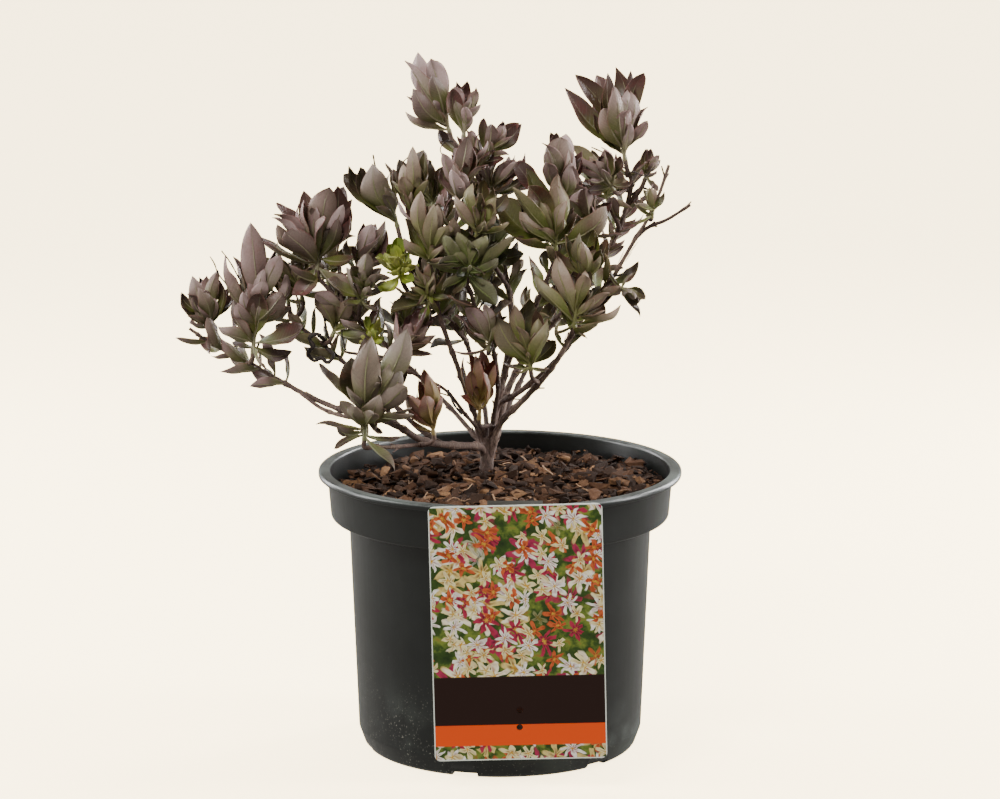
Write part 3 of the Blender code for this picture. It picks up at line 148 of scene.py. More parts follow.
class Shader:
    """One material's node tree: a Principled surface and what feeds it."""

    def __init__(self, name: str, settings: dict[str, float | Colour] | None = None) -> None:
        """Starts the material with the surface's plain values.

        Args:
            name: the material's name.
            settings: constants by the name of the surface's socket.
        """
        self.material = bpy.data.materials.new(name)
        self.material.use_nodes = True
        self.nodes = self.material.node_tree.nodes
        self.surface = self.nodes["Principled BSDF"]
        for socket, value in (settings or {}).items():
            self.feed(socket, value)

    def link(self, target: bpy.types.NodeSocket, value: "Socket | float | Colour") -> None:
        """Gives a socket a link or a constant.

        Args:
            target: the socket.
            value: what it gets.
        """
        if isinstance(value, Socket):
            self.material.node_tree.links.new(value.socket, target)
        elif target.type == "RGBA" and len(value) == 3:
            target.default_value = (*value, 1.0)
        else:
            target.default_value = value

    def feed(self, socket: str, value: "Socket | float | Colour") -> None:
        """Gives one of the surface's sockets a link or a constant."""
        self.link(self.surface.inputs[socket], value)

    def node(self, kind: str, settings: dict | None = None, inputs: dict | None = None,
             output: int = 0) -> Socket:
        """Adds any node.

        Args:
            kind: the node's type.
            settings: its properties, set first; stops are a colour ramp's, as (place, colour).
            inputs: values or links by the name or number of its sockets.
            output: which of its outputs to return.

        Returns:
            That output.
        """
        made = self.nodes.new(kind)
        for key, value in (settings or {}).items():
            if key == "stops":
                self._set_stops(made.color_ramp, value)
            else:
                setattr(made, key, value)
        for key, value in (inputs or {}).items():
            self.link(made.inputs[key], value)
        return Socket(self, made.outputs[output])

    @staticmethod
    def _set_stops(ramp: bpy.types.ColorRamp, stops: Sequence[tuple[float, Colour]]) -> None:
        """Sets a ramp's stops.

        Args:
            ramp: the ramp.
            stops: each as (place, colour), in order.
        """
        while len(ramp.elements) < len(stops):
            ramp.elements.new(1.0)
        for element, (place, colour) in zip(ramp.elements, stops):
            element.position = place
            element.color = (*colour, 1.0)

    def place(self) -> Socket:
        """The point's place on the object, in metres."""
        return self.node("ShaderNodeTexCoord", output=3)

    def attribute(self, name: str) -> Socket:
        """A vector that the mesh holds at each point."""
        return self.node("ShaderNodeAttribute", {"attribute_name": name}, output=1)

    def split(self, vector: Socket) -> tuple[Socket, Socket, Socket]:
        """Splits a vector.

        Args:
            vector: the vector.

        Returns:
            Its X, Y and Z.
        """
        first = self.node("ShaderNodeSeparateXYZ", inputs={0: vector})
        outputs = first.socket.node.outputs
        return first, Socket(self, outputs[1]), Socket(self, outputs[2])

    def grain(self, scale: float, detail: float = 3.0, roughness: float = 0.55,
              vector: Socket | None = None) -> Socket:
        """Noise from 0 to 1, with scale features to a metre.

        Args:
            scale: features to a metre.
            detail: how many finer layers it has.
            roughness: how strong the finer layers are.
            vector: where it is read, or the object's own place.

        Returns:
            The noise.
        """
        inputs = {"Vector": vector or self.place(), "Scale": scale, "Detail": detail, "Roughness": roughness}
        return self.node("ShaderNodeTexNoise", inputs=inputs)

    def step(self, value: Socket, low: float, high: float) -> Socket:
        """A smooth step between two values.

        Args:
            value: what is read.
            low: where the step is 0.
            high: where it is 1, which may be the smaller.

        Returns:
            The step, from 0 to 1.
        """
        inputs = {"Value": value, "From Min": min(low, high), "From Max": max(low, high)}
        inputs |= {"To Min": 0.0, "To Max": 1.0} if low < high else {"To Min": 1.0, "To Max": 0.0}
        return self.node("ShaderNodeMapRange", {"interpolation_type": "SMOOTHSTEP"}, inputs)

    def mix(self, factor: Socket | float, first: Socket | Colour, second: Socket | Colour,
            blend: str = "MIX") -> Socket:
        """A colour between two colours.

        Args:
            factor: 0 for the first and 1 for the second.
            first: the colour at 0.
            second: the colour at 1.
            blend: the Mix node's way of blending.

        Returns:
            The colour.
        """
        settings = {"data_type": "RGBA", "blend_type": blend, "clamp_result": True}
        return self.node("ShaderNodeMix", settings, {0: factor, 6: first, 7: second}, 2)

    def ramp(self, value: Socket, stops: Sequence[tuple[float, Colour]]) -> Socket:
        """A colour read from a ramp."""
        return self.node("ShaderNodeValToRGB", {"stops": stops}, {0: value})

    def bump(self, height: Socket, distance: float, strength: float = 1.0) -> None:
        """Gives the surface relief.

        Args:
            height: the relief, from 0 to 1.
            distance: the relief's depth in metres.
            strength: how much of it shows.
        """
        inputs = {"Strength": strength, "Distance": distance, "Height": height}
        self.feed("Normal", self.node("ShaderNodeBump", inputs=inputs))


class Tone(Enum):
    """The kinds of leaf on the plant, by the colour of the shoot."""

    PLUM = "plum"
    BRONZE = "bronze"
    OLIVE = "olive"
    GREEN = "green"
    YELLOW = "yellow"
    PINK = "pink"
    RED = "red"


@dataclass(frozen=True)
class LeafFinish:
    """A leaf's skin: coloured above, greyer below, greener to its foot, with pale veins."""

    tone: Tone
    upper: str
    upper_light: str
    under: str
    under_light: str
    foot: str
    foot_share: float
    flush: str
    kin: str
    kin_under: str
    gloss: float = 0.30

    def make(self) -> bpy.types.Material:
        """Builds the shader.

        Returns:
            The material, for a mesh with leaf_place (along, across, under) and leaf_mark
            (under, draw, green).
        """
        tree = Shader("leaf_" + self.tone.value, {"Specular IOR Level": 0.62, "IOR": 1.45})
        along, across, _ = tree.split(tree.attribute("leaf_place"))
        side, tint, green = tree.split(tree.attribute("leaf_mark"))
        blotch = tree.grain(110.0, 4.0, 0.6)
        fine = tree.grain(900.0, 3.0, 0.6)
        upper = tree.mix(tint, paint(self.upper), paint(self.upper_light))
        upper = tree.mix(tree.step(blotch, 0.48, 0.75) * 0.55, upper, paint(self.flush))
        under = tree.mix(tint, paint(self.under), paint(self.under_light))
        under = tree.mix(tree.step(blotch, 0.50, 0.80) * 0.35, under, paint(self.flush))
        colour = tree.mix(side, upper, under)
        kin = tree.mix(side, paint(self.kin), paint(self.kin_under))
        colour = tree.mix(self._draw(tree, tint, 7.3, 0.40, 0.80) * 0.75, colour, kin)
        colour = tree.mix(self._draw(tree, tint, 3.7, 0.50, 0.95) * 0.55, colour, paint(self.upper))
        foot = tree.step(along - green * 0.55 + (blotch - 0.5) * 0.6, 0.42, -0.20) * self.foot_share
        colour = tree.mix(foot, colour, paint(self.foot))
        ribs = self._ribs(tree, along, across)
        middle = tree.step(abs(across), 0.09, 0.015)
        pale = tree.mix(0.5, paint(self.under_light), paint(self.foot))
        colour = tree.mix(ribs * (0.10 + 0.16 * side), colour, pale)
        colour = tree.mix(middle * (0.30 + 0.30 * side), colour, pale)
        colour = tree.mix(tree.step(abs(across), 0.90, 1.0) * 0.35, colour, paint(self.flush))
        colour = tree.mix((fine - 0.5) * 0.5 + 0.12, colour, paint(self.upper), "MULTIPLY")
        tree.feed("Base Color", colour)
        tree.feed("Roughness", self.gloss + 0.16 * side + 0.16 * blotch)
        tree.bump(fine * 0.20 + ribs * 0.45 + middle * 0.6 + blotch * 0.3, 0.00022, 0.8)
        return tree.material

    @staticmethod
    def _draw(tree: Shader, tint: Socket, turns: float, low: float, high: float) -> Socket:
        """Takes a second draw of each leaf's own from its first.

        Args:
            tree: the leaf's shader.
            tint: the first draw.
            turns: how far it is turned on.
            low: the draw that gives 0.
            high: the draw that gives 1.

        Returns:
            The second draw, from 0 to 1.
        """
        drawn = tree.node("ShaderNodeMath", {"operation": "FRACT"}, {0: tint * turns})
        return tree.step(drawn, low, high)

    @staticmethod
    def _ribs(tree: Shader, along: Socket, across: Socket) -> Socket:
        """The side veins, which leave the midrib forwards on both sides.

        Args:
            tree: the leaf's shader.
            along: the share of the leaf's length.
            across: from -1 to 1 over its width.

        Returns:
            1 on a vein and 0 between veins.
        """
        run = (along - abs(across) * 0.16) * 15.0
        beat = tree.node("ShaderNodeMath", {"operation": "PINGPONG"}, {0: run, 1: 0.5})
        return tree.step(beat, 0.07, 0.0)


LEAF_FINISHES = (
    LeafFinish(Tone.PLUM, "3e2a25", "6c504a", "816761", "ac9490", "60682a", 0.80, "7c3a34",
               "4a3328", "6f5c4c"),
    LeafFinish(Tone.BRONZE, "3a2e20", "604a3a", "776250", "9a8572", "656e28", 0.90, "763f30",
               "45421c", "7c7650"),
    LeafFinish(Tone.OLIVE, "382f20", "57483a", "6a5b4b", "84766a", "626a28", 0.80, "6c4638",
               "4c3a30", "7f6e62"),
    LeafFinish(Tone.GREEN, "1f220e", "363814", "505030", "6e6a46", "566a1c", 0.60, "4a3424",
               "4a3626", "6a5a46", 0.36),
    LeafFinish(Tone.YELLOW, "6a7c20", "a0a840", "a2a44c", "bebc6a", "b0b840", 0.8, "8a8038",
               "66742a", "8c9248"),
    LeafFinish(Tone.PINK, "5c3e3a", "825e5c", "906f6c", "b39a96", "7c7638", 0.60, "8c4a44",
               "5a4a34", "8c7c66"),
    LeafFinish(Tone.RED, "40241c", "68382a", "705044", "927060", "7a6e28", 0.75, "8c3222",
               "5c3428", "84604e"),
)


@dataclass(frozen=True)
class BarkFinish:
    """Flaking grey-brown bark with darker cracks."""

    dark: str = "281c16"
    middle: str = "54423a"
    light: str = "8a7565"

    def make(self) -> bpy.types.Material:
        """Builds the shader.

        Returns:
            The material, for a mesh with bark_mark (age from green to old, the stem's draw).
        """
        tree = Shader("bark", {"Coat Weight": 0.0, "IOR": 1.4})
        age, draw, _ = tree.split(tree.attribute("bark_mark"))
        stretched = tree.node("ShaderNodeMapping", inputs={"Vector": tree.place(), "Scale": (3.2, 3.2, 1.0)})
        fibre = tree.grain(520.0, 5.0, 0.65, stretched)
        patch = tree.grain(95.0, 3.0, 0.5)
        stops = ((0.30, paint(self.dark)), (0.52, paint(self.middle)), (0.74, paint(self.light)))
        colour = tree.ramp(fibre * 0.7 + patch * 0.3 + (draw - 0.5) * 0.12, stops)
        colour = tree.mix((1.0 - age) * 0.6, colour, paint("3c241e"))
        tree.feed("Base Color", colour)
        tree.feed("Roughness", 0.55 + 0.35 * fibre)
        tree.bump(fibre, 0.0005, 0.9)
        return tree.material


@dataclass(frozen=True)
class DeadTwigFinish:
    """Dry, nearly black curls and twig ends."""

    def make(self) -> bpy.types.Material:
        """Builds the shader.

        Returns:
            The material.
        """
        tree = Shader("bark_dead")
        fibre = tree.grain(800.0, 4.0, 0.6)
        tree.feed("Base Color", tree.ramp(fibre, ((0.35, paint("18120f")), (0.70, paint("443730")))))
        tree.feed("Roughness", 0.65 + 0.25 * fibre)
        tree.bump(fibre, 0.0003)
        return tree.material


@dataclass(frozen=True)
class MulchFinish:
    """Bark mulch: every chip its own brown, fibrous along its length, with painted shade where it lies deep.
    """

    def make(self) -> bpy.types.Material:
        """Builds the shader.

        Returns:
            The material, for a mesh with chip_mark (the chip's draw, painted shade for how deep it lies).
        """
        tree = Shader("soil_bark", {"IOR": 1.38, "Specular IOR Level": 0.22})
        draw, depth, _ = tree.split(tree.attribute("chip_mark"))
        fibre = tree.grain(750.0, 5.0, 0.7)
        blotch = tree.grain(160.0, 2.0)
        browns = ((0.0, "120b07"), (0.42, "302016"), (0.78, "553a28"), (1.0, "a8805a"))
        stops = [(place, paint(code)) for place, code in browns]
        colour = tree.ramp(draw * 0.72 + fibre * 0.30 + (blotch - 0.5) * 0.25, stops)
        # Painted shade: the depth mark darkens the colour towards near black.
        colour = tree.mix(depth, colour, paint("180d08"))
        tree.feed("Base Color", colour)
        tree.feed("Roughness", 0.70 + 0.25 * fibre)
        tree.bump(fibre, 0.0006, 0.9)
        return tree.material


@dataclass(frozen=True)
class PotFinish:
    """Black injection-moulded plastic: satin, scuffed, dusty near the foot, the lip's top partly worn and
    partly a painted highlight.
    """

    black: str = "090b0a"
    lip_wear_and_highlight: str = "6f7672"
    dust: str = "6f7a6c"

    def make(self) -> bpy.types.Material:
        """Builds the shader.

        Returns:
            The material.
        """
        tree = Shader("pot_plastic", {"IOR": 1.47, "Specular IOR Level": 0.50})
        place = tree.place()
        x, _, height = tree.split(place)
        mottle = tree.grain(38.0, 5.0, 0.6)
        fine = tree.grain(1400.0, 2.0)
        drawn = tree.node("ShaderNodeMapping", inputs={"Vector": place, "Scale": (1.0, 1.0, 0.05)})
        streak = tree.grain(260.0, 3.0, 0.6, drawn)
        colour = tree.mix(mottle * 0.6, paint(self.black), paint("191c1a"))
        film = tree.step(height, 0.055, 0.0) * tree.step(mottle, 0.42, 0.75)
        colour = tree.mix(film * 0.16, colour, paint(self.dust))
        # Partly wear, partly painted highlight: the top of the lip is mixed pale, broken up by noise.
        lip = tree.step(height, 0.1466, 0.1474) * tree.step(mottle + fine * 0.3, 0.45, 0.80)
        colour = tree.mix(lip * 0.40, colour, paint(self.lip_wear_and_highlight))
        dusty = tree.step(height + x * 0.3, 0.052, -0.012) * tree.step(tree.grain(60.0, 2.0), 0.35, 0.6)
        specks = tree.step(tree.grain(1000.0, 2.0, 0.5), 0.63, 0.71)
        colour = tree.mix(dusty * specks * 0.40, colour, paint("b4b2a4"))
        tree.feed("Base Color", colour)
        tree.feed("Roughness", 0.21 + 0.14 * mottle + 0.10 * streak + 0.30 * film)
        tree.bump(fine * 0.25 + streak * 0.35 + mottle * 0.5, 0.00025, 0.5)
        return tree.material


@dataclass(frozen=True)
class PrintFinish:
    """A generic printed card: scattered blossoms on leafy green, a dark band and an orange band."""

    centre_x: float
    foot: float
    width: float
    height: float
    lean: float
    dark_band: tuple[float, float] = (0.138, 0.331)
    orange_band: tuple[float, float] = (0.058, 0.140)
    print_starts: float = -0.0938
    print_full: float = -0.0948

    def make(self) -> bpy.types.Material:
        """Builds the shader.

        Returns:
            The material, drawn over the card's own width and height.
        """
        tree = Shader("label_card", {"Specular IOR Level": 0.25, "Roughness": 0.34})
        x, y, z = tree.split(tree.place())
        aside, below = x - self.centre_x, z - (self.foot + self.height)
        across = (aside * math.cos(self.lean) + below * math.sin(self.lean)) / self.width
        up = (below * math.cos(self.lean) - aside * math.sin(self.lean)) / self.height + 1.0
        flat = tree.node("ShaderNodeCombineXYZ", inputs={0: across, 1: up * (self.height / self.width)})
        colour = self._ground(tree, flat)
        for scale, shift, petals, pale, deep in (
            (4.1, 0.31, 7.0, "a02c4c", "2c0614"),
            (4.9, 2.17, 6.0, "d2bc74", "5c2414"),
            (5.6, 6.91, 6.0, "efe6c8", "9c5c2c"),
            (5.9, 4.53, 7.0, "a42a44", "3c0a16"),
            (7.4, 9.37, 7.0, "ece8dc", "7c2030"),
            (8.2, 11.83, 5.0, "c05a30", "4c140c"),
            (9.4, 14.29, 5.0, "e2d6a0", "8c5a24"),
        ):
            colour = self._blossoms(tree, flat, colour, scale, shift, petals, pale, deep)
        dark = self._band(tree, up, self.dark_band)
        colour = tree.mix(dark, colour, paint("220f0a"))
        orange = self._band(tree, up, self.orange_band)
        colour = tree.mix(orange, colour, paint("e04a08"))
        rim_x = tree.step(abs(across), 0.4925, 0.4945)
        rim_z = tree.step(abs(up - 0.5), 0.4945, 0.4965)
        colour = tree.mix(1.0 - (1.0 - rim_x) * (1.0 - rim_z), colour, paint("dfe3d8"))
        front = tree.step(y, self.print_starts, self.print_full)
        colour = tree.mix(1.0 - front, colour, paint("24231f"))
        tree.feed("Base Color", colour)
        tree.bump(tree.grain(60.0, 2.0), 0.0004, 0.35)
        return tree.material

    @staticmethod
    def _ground(tree: Shader, flat: Socket) -> Socket:
        """Paints the leafy ground behind the blossoms.

        Args:
            tree: the card's shader.
            flat: the place on the card, in card widths.

        Returns:
            Its colour.
        """
        leaves = tree.grain(9.0, 4.0, 0.6, flat)
        greens = ((0.30, "1c2a12"), (0.48, "33481a"), (0.60, "6f7c30"), (0.75, "94402a"))
        stops = [(place, paint(code)) for place, code in greens]
        return tree.ramp(leaves, stops)

    @staticmethod
    def _band(tree: Shader, up: Socket, span: tuple[float, float]) -> Socket:
        """Marks a plain band across the card.

        Args:
            tree: the card's shader.
            up: the share of the card's height.
            span: where the band starts and ends.

        Returns:
            1 inside the band and 0 outside it.
        """
        edge = 0.002
        return tree.step(up, span[0] - edge, span[0] + edge) * tree.step(up, span[1] + edge, span[1] - edge)

    @staticmethod
    def _blossoms(tree: Shader, flat: Socket, under: Socket, scale: float, shift: float, petals: float,
                  pale: str, deep: str) -> Socket:
        """Lays a scatter of open blossoms over a colour.

        Args:
            tree: the card's shader.
            flat: the place on the card, in card widths.
            under: the colour they lie on.
            scale: blossoms across the card.
            shift: a draw that moves the scatter.
            petals: petals to a blossom.
            pale: colour at the petals' ends.
            deep: colour at the blossom's heart.

        Returns:
            The card's colour with them.
        """
        bend = tree.grain(6.0, 3.0, 0.5, flat) - 0.5
        aside = tree.node("ShaderNodeCombineXYZ", inputs={0: bend * 0.14, 1: bend * -0.11})
        moved = flat + (shift, shift, 0.0) + aside
        inputs = {"Vector": moved, "Scale": scale, "Randomness": 0.9}
        cell = tree.node("ShaderNodeTexVoronoi", {"voronoi_dimensions": "2D"}, inputs)
        outputs = cell.socket.node.outputs
        centre = Socket(tree, outputs["Position"])
        draw, _, _ = tree.split(Socket(tree, outputs["Color"]))
        dx, dy, _ = tree.split(moved - centre)
        angle = tree.node("ShaderNodeMath", {"operation": "ARCTAN2"}, {0: dy, 1: dx})
        wave = tree.node("ShaderNodeMath", {"operation": "SINE"}, {0: angle * petals + draw * 6.0})
        reach = cell / (0.26 + 0.18 * wave + 0.08 * draw)
        petal = tree.step(reach, 1.12, 0.88) * tree.step(draw, 0.50, 0.54)
        skin = tree.ramp(reach + 0.25 * (wave * -0.5 + 0.5), ((0.14, paint(deep)), (0.62, paint(pale))))
        heart = tree.step(reach, 0.26, 0.16)
        skin = tree.mix(heart, skin, paint("c89a34"))
        skin = tree.mix(tree.step(tree.grain(26.0, 4.0, 0.6, moved), 0.42, 0.66) * 0.45, skin, paint(deep))
        return tree.mix(petal, under, skin)


@dataclass(frozen=True)
class RootFinish:
    """Thin pale roots and straws on the mulch."""

    def make(self) -> bpy.types.Material:
        """Builds the shader.

        Returns:
            The material.
        """
        tree = Shader("soil_root")
        fibre = tree.grain(900.0, 3.0)
        tree.feed("Base Color", tree.ramp(fibre, ((0.3, paint("6b4a34")), (0.7, paint("b08e6c")))))
        tree.feed("Roughness", 0.6 + 0.3 * fibre)
        tree.bump(fibre, 0.0002)
        return tree.material


@dataclass(frozen=True)
class SweepFinish:
    """The studio's pale cream paper."""

    cream: str = "ffeabb"
    glow: float = 4.7

    def make(self) -> bpy.types.Material:
        """Builds the shader.

        Returns:
            The material.
        """
        settings = {"Roughness": 0.9, "Specular IOR Level": 0.1, "Emission Strength": self.glow}
        tree = Shader("studio_paper", settings)
        cream = tree.mix(tree.grain(14.0) * 0.03, paint(self.cream), paint("fae4b4"))
        tree.feed("Base Color", cream)
        tree.feed("Emission Color", cream)
        return tree.material


class Draft:
    """A mesh in the making: points and faces, with marks that the finishes read."""

    def __init__(self, name: str, marks: Sequence[str] = ()) -> None:
        """Starts an empty mesh.

        Args:
            name: the object's name.
            marks: names of the vectors that its points carry.
        """
        self.name = name
        self.points: list[Vector] = []
        self.faces: list[Face] = []
        self.marks: dict[str, list[Point]] = {mark: [] for mark in marks}

    def add(self, mesh: Mesh, **marks: Sequence[float] | Sequence[Sequence[float]]) -> None:
        """Adds a piece of mesh.

        Args:
            mesh: its points and faces.
            **marks: for each mark one vector, or a list with one for each point.
        """
        points, faces = mesh
        start = len(self.points)
        self.points += points
        self.faces += [tuple(start + corner for corner in face) for face in faces]
        for name, values in marks.items():
            single = isinstance(values[0], (int, float))
            self.marks[name] += [tuple(values)] * len(points) if single else [tuple(v) for v in values]

    def build(self, finish: bpy.types.Material, sharp_degrees: float | None = 40.0) -> bpy.types.Object:
        """Makes the object.

        Args:
            finish: its material.
            sharp_degrees: edges that turn more than this stay sharp, and None shades it flat.

        Returns:
            The object, at the origin.
        """
        mesh = bpy.data.meshes.new(self.name)
        mesh.from_pydata([tuple(point) for point in self.points], [], self.faces)
        mesh.materials.append(finish)
        for name, values in self.marks.items():
            layer = mesh.attributes.new(name, "FLOAT_VECTOR", "POINT")
            layer.data.foreach_set("vector", [part for value in values for part in value])
        mesh.update()
        if sharp_degrees is not None:
            mesh.shade_smooth()
            mesh.set_sharp_from_angle(angle=math.radians(sharp_degrees))
        made = bpy.data.objects.new(self.name, mesh)
        bpy.context.scene.collection.objects.link(made)
        return made


def settle(piece: bpy.types.Object, slot: str, *nodes: str) -> None:
    """Hands a finished piece to the frame.

    Args:
        piece: the object.
        slot: the record's material slot.
        *nodes: the CAD nodes it stands for.
    """
    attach(piece, "root")
    if nodes:
        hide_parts(*nodes)
    LOG.info("%s: %d faces, %s, replaces %s", piece.name, len(piece.data.polygons), slot, nodes or "nothing")


# The pot, as in the CAD.
POT_SIDES = 28
POT_HEIGHT = 0.148
RIM_RADIUS = 0.095
LIP_HEIGHT = 0.0035
COLLAR_HEIGHT = 0.025
COLLAR_TOP_RADIUS = 0.0902
COLLAR_FOOT_RADIUS = 0.0885
BODY_TOP_RADIUS = 0.0790
BODY_FOOT_RADIUS = 0.0745
FOOT_RADIUS = 0.0700
FOOT_RING_INNER_RADIUS = 0.0640
FOOT_BOSS_RADIUS = 0.009
FOOT_CURVE_HEIGHT = 0.010
WALL = 0.0013
FLOOR_UNDERSIDE = 0.0040
FLOOR_TOP = 0.0058
DRAIN_COUNT = 6
DRAIN_RADIUS = 0.0045
DRAIN_CIRCLE = 0.047
NOTCH_COUNT = 6
NOTCH_WIDTH = 0.014
NOTCH_HEIGHT = 0.0026
NOTCH_DEPTH = 0.024
NOTCH_START = 0.25  # of the way from one notch to the next
CUTTER_OVERRUN = 0.002

# The soil, as in the CAD.
SOIL_LEVEL = 0.1385
SOIL_RELIEF = 0.0040
SOIL_MOUND = 0.0045
SOIL_MOUND_SPREAD = 0.035
SOIL_TILT = 0.020
SOIL_GRAIN = 0.0075
CROWN = Vector((-0.007, 0.018, 0.0))
HOLE_FLOOR = 0.112

# The label, as in the CAD.
LABEL_WIDTH = 0.0875
LABEL_HEIGHT = 0.1325
LABEL_THICKNESS = 0.0008
LABEL_CORNER = 0.003
LABEL_CENTRE_X = 0.0075
LABEL_TOP = 0.1500
LABEL_LEAN = math.radians(1.4)
LABEL_HOLE_RADIUS = 0.0016
LABEL_HOLES = ((0.0025, 0.0260), (0.0025, 0.0170))  # from the label's foot, at its middle
TONGUE_WIDTH = 0.028
TONGUE_DEPTH = 0.022
TONGUE_INNER_Y = -0.0834
TONGUE_ROOT = 0.004
TONGUE_INSET = 0.0001

# The woody stems, as in the CAD.
TURN_STEP = 0.4  # radians between the first sides of one tube and the next
STEM_SIDES = 5
TWIG_SIDES = 3
RING_SPACING = 0.0205
KNUCKLE = 1.22
TRUNK_SIDES = 8
TRUNK_HEIGHTS = (HOLE_FLOOR + GAP, 0.130, 0.146, 0.152, 0.160)
TRUNK_RADII = (0.0034, 0.0035, 0.0036, 0.0036, 0.0026)
TRUNK = [Vector((CROWN.x, CROWN.y, height)) for height in TRUNK_HEIGHTS]
TWIG_RADIUS = 0.00125
TWIG_STEPS = 3
TWIG_KNUCKLE = 1.12
TWIG_PULL = 0.45  # how far a twig keeps its first and last heading, as a share of its reach
TWIG_OVERRUN = 0.004
SHORT_TWIG = 0.016
DEAD_RING_SPACING = 0.012
DEAD_TIP_SHARE = 0.8

# The leaves, as in the CAD.
LEAF_THICKNESS = 0.0011
LEAF_ROWS = ((0.14, 0.20), (0.44, 1.0), (0.76, 0.68))  # along the leaf, share of its half width
SMALL_LEAF_ROWS = ((0.36, 0.88), (0.72, 0.78))
SMALL_LEAF_LENGTH = 0.031
TINY_LEAF_ROWS = ((0.48, 1.0),)
TINY_LEAF_LENGTH = 0.0145
LEAF_FOLD = 0.42
LEAF_BREADTH = 1.04
WIDEST_LEAF = 0.54
LEAF_BOW = 0.10
LOWEST_LEAF = 0.12
FACE_TO_SKY = 1.2
FACE_TWIST = 0.75
FACE_TWIST_SWAP = 0.25
FACE_WOBBLE = 0.60
SHOOT_SIDES = 4
SHOOT_RADIUS = 0.00125
ROOT_OFFSET = 0.5
SHOOT_TIP_RADIUS = 0.0006
SHOOT_OVERRUN = 1.12
YOUNG_LENGTH = 0.013
YOUNG_WIDTH = 0.42
YOUNG_HEIGHT = 0.9
YOUNG_SPREAD = math.radians(26)
YOUNG_SPREAD_WOBBLE = math.radians(8)
LEAF_CLEARANCE = 0.0005
ROOT_SHARE = 0.2

# Each stem: thickness at its root and tip in mm, then the points it runs through in mm.
STEMS: dict[str, tuple[float, float, list[Point]]] = {
    "tall": (3.8, 2.0, [
        (-6, 19, 150), (-4, 22, 163), (1, 26, 187), (5, 28, 208), (6, 29, 226), (2, 30, 250),
        (-4, 30, 269), (-8, 28, 285), (-12, 25, 299), (-18, 22, 311), (-20, 19, 316)]),
    "right_main": (4.0, 2.2, [
        (-5, 19, 150), (-1, 24, 164), (5, 32, 185), (17, 40, 204), (32, 46, 220), (48, 48, 240),
        (59, 47, 258), (66, 45, 276), (69, 42, 292), (67, 40, 299)]),
    "right_low": (3.8, 2.4, [
        (-5, 17, 150), (0, 15, 168), (12, 8, 182), (23, 0, 196), (31, -4, 208), (37, -6, 220),
        (41, -7, 231), (43, -8, 242)]),
    "right_outer": (3.2, 1.6, [
        (-5, 20, 158), (-1, 21, 176), (9, 16, 184), (18, 11, 192), (29, 7, 203), (38, 4, 216),
        (43, 3, 227), (50, 2, 238), (58, 0, 248), (63, -2, 257), (70, -4, 270), (75, -4, 278),
        (82, -4, 293), (87, -3, 308)]),
    "outer_side": (2.0, 1.4, [(70, -4, 270), (77, -4, 276), (86, -6, 280), (98, -8, 288)]),
    "right_inner": (2.6, 2.2, [
        (1, 27, 184), (5, 25, 200), (11, 21, 214), (18, 15, 230), (24, 9, 245), (29, 5, 258)]),
    "centre_left": (3.0, 2.2, [
        (-8, 18, 152), (-9, 19, 161), (-16, 12, 181), (-23, 5, 203), (-29, 0, 221), (-33, -3, 238),
        (-32, -3, 254), (-28, -3, 268), (-23, -2, 279)]),
    "centre": (2.8, 2.0, [
        (-6, 18, 154), (-3, 16, 173), (-1, 8, 190), (-3, 0, 208), (-7, -6, 221), (-12, -10, 232),
        (-16, -13, 246)]),
    "behind": (2.2, 1.8, [
        (-10, 19, 156), (-13, 22, 168), (-14, 26, 186), (-16, 27, 204), (-21, 24, 216), (-30, 14, 227),
        (-36, 5, 233)]),
    "thin_left": (2.0, 1.2, [
        (-9, 17, 158), (-11, 15, 164), (-19, 6, 176), (-25, 2, 185), (-31, 0, 191), (-44, -3, 198),
        (-55, -6, 204), (-68, -5, 208), (-81, -3, 210)]),
    "low_left": (4.2, 1.6, [
        (-8, 18, 150), (-11, 13, 156), (-24, -2, 160), (-39, -15, 165), (-52, -22, 174),
        (-63, -20, 178), (-78, -10, 179), (-99, 2, 185), (-115, 10, 192), (-136, 15, 203),
        (-151, 18, 210), (-163, 20, 218)]),
    "low_front": (2.6, 1.8, [(-34, -11, 163), (-44, -24, 165), (-56, -34, 166), (-66, -36, 167)]),
    "low_back": (2.4, 1.8, [(-62, -20, 178), (-78, -16, 178), (-92, -5, 180), (-104, 2, 187)]),
    "left_mid": (2.6, 2.0, [
        (-30, -7, 162), (-42, 1, 168), (-54, 8, 178), (-67, 12, 187), (-79, 16, 198), (-92, 19, 209),
        (-104, 22, 218), (-111, 24, 226)]),
    "left_up": (2.8, 2.0, [
        (-50, -21, 172), (-58, -8, 179), (-62, 0, 195), (-65, 1, 211), (-71, 3, 223), (-81, 5, 233),
        (-88, 6, 240), (-94, 6, 247)]),
    "back_mid": (2.8, 2.0, [
        (-7, 20, 154), (-8, 32, 172), (-14, 44, 194), (-22, 54, 216), (-30, 60, 238), (-34, 62, 252)]),
    "back_right": (2.8, 2.0, [
        (-4, 20, 156), (6, 38, 176), (18, 52, 198), (28, 62, 222), (34, 68, 244), (36, 70, 256)]),
    "back_left": (2.6, 2.0, [
        (-8, 20, 154), (-24, 34, 170), (-44, 46, 188), (-64, 52, 206), (-80, 54, 222), (-88, 54, 232)]),
}

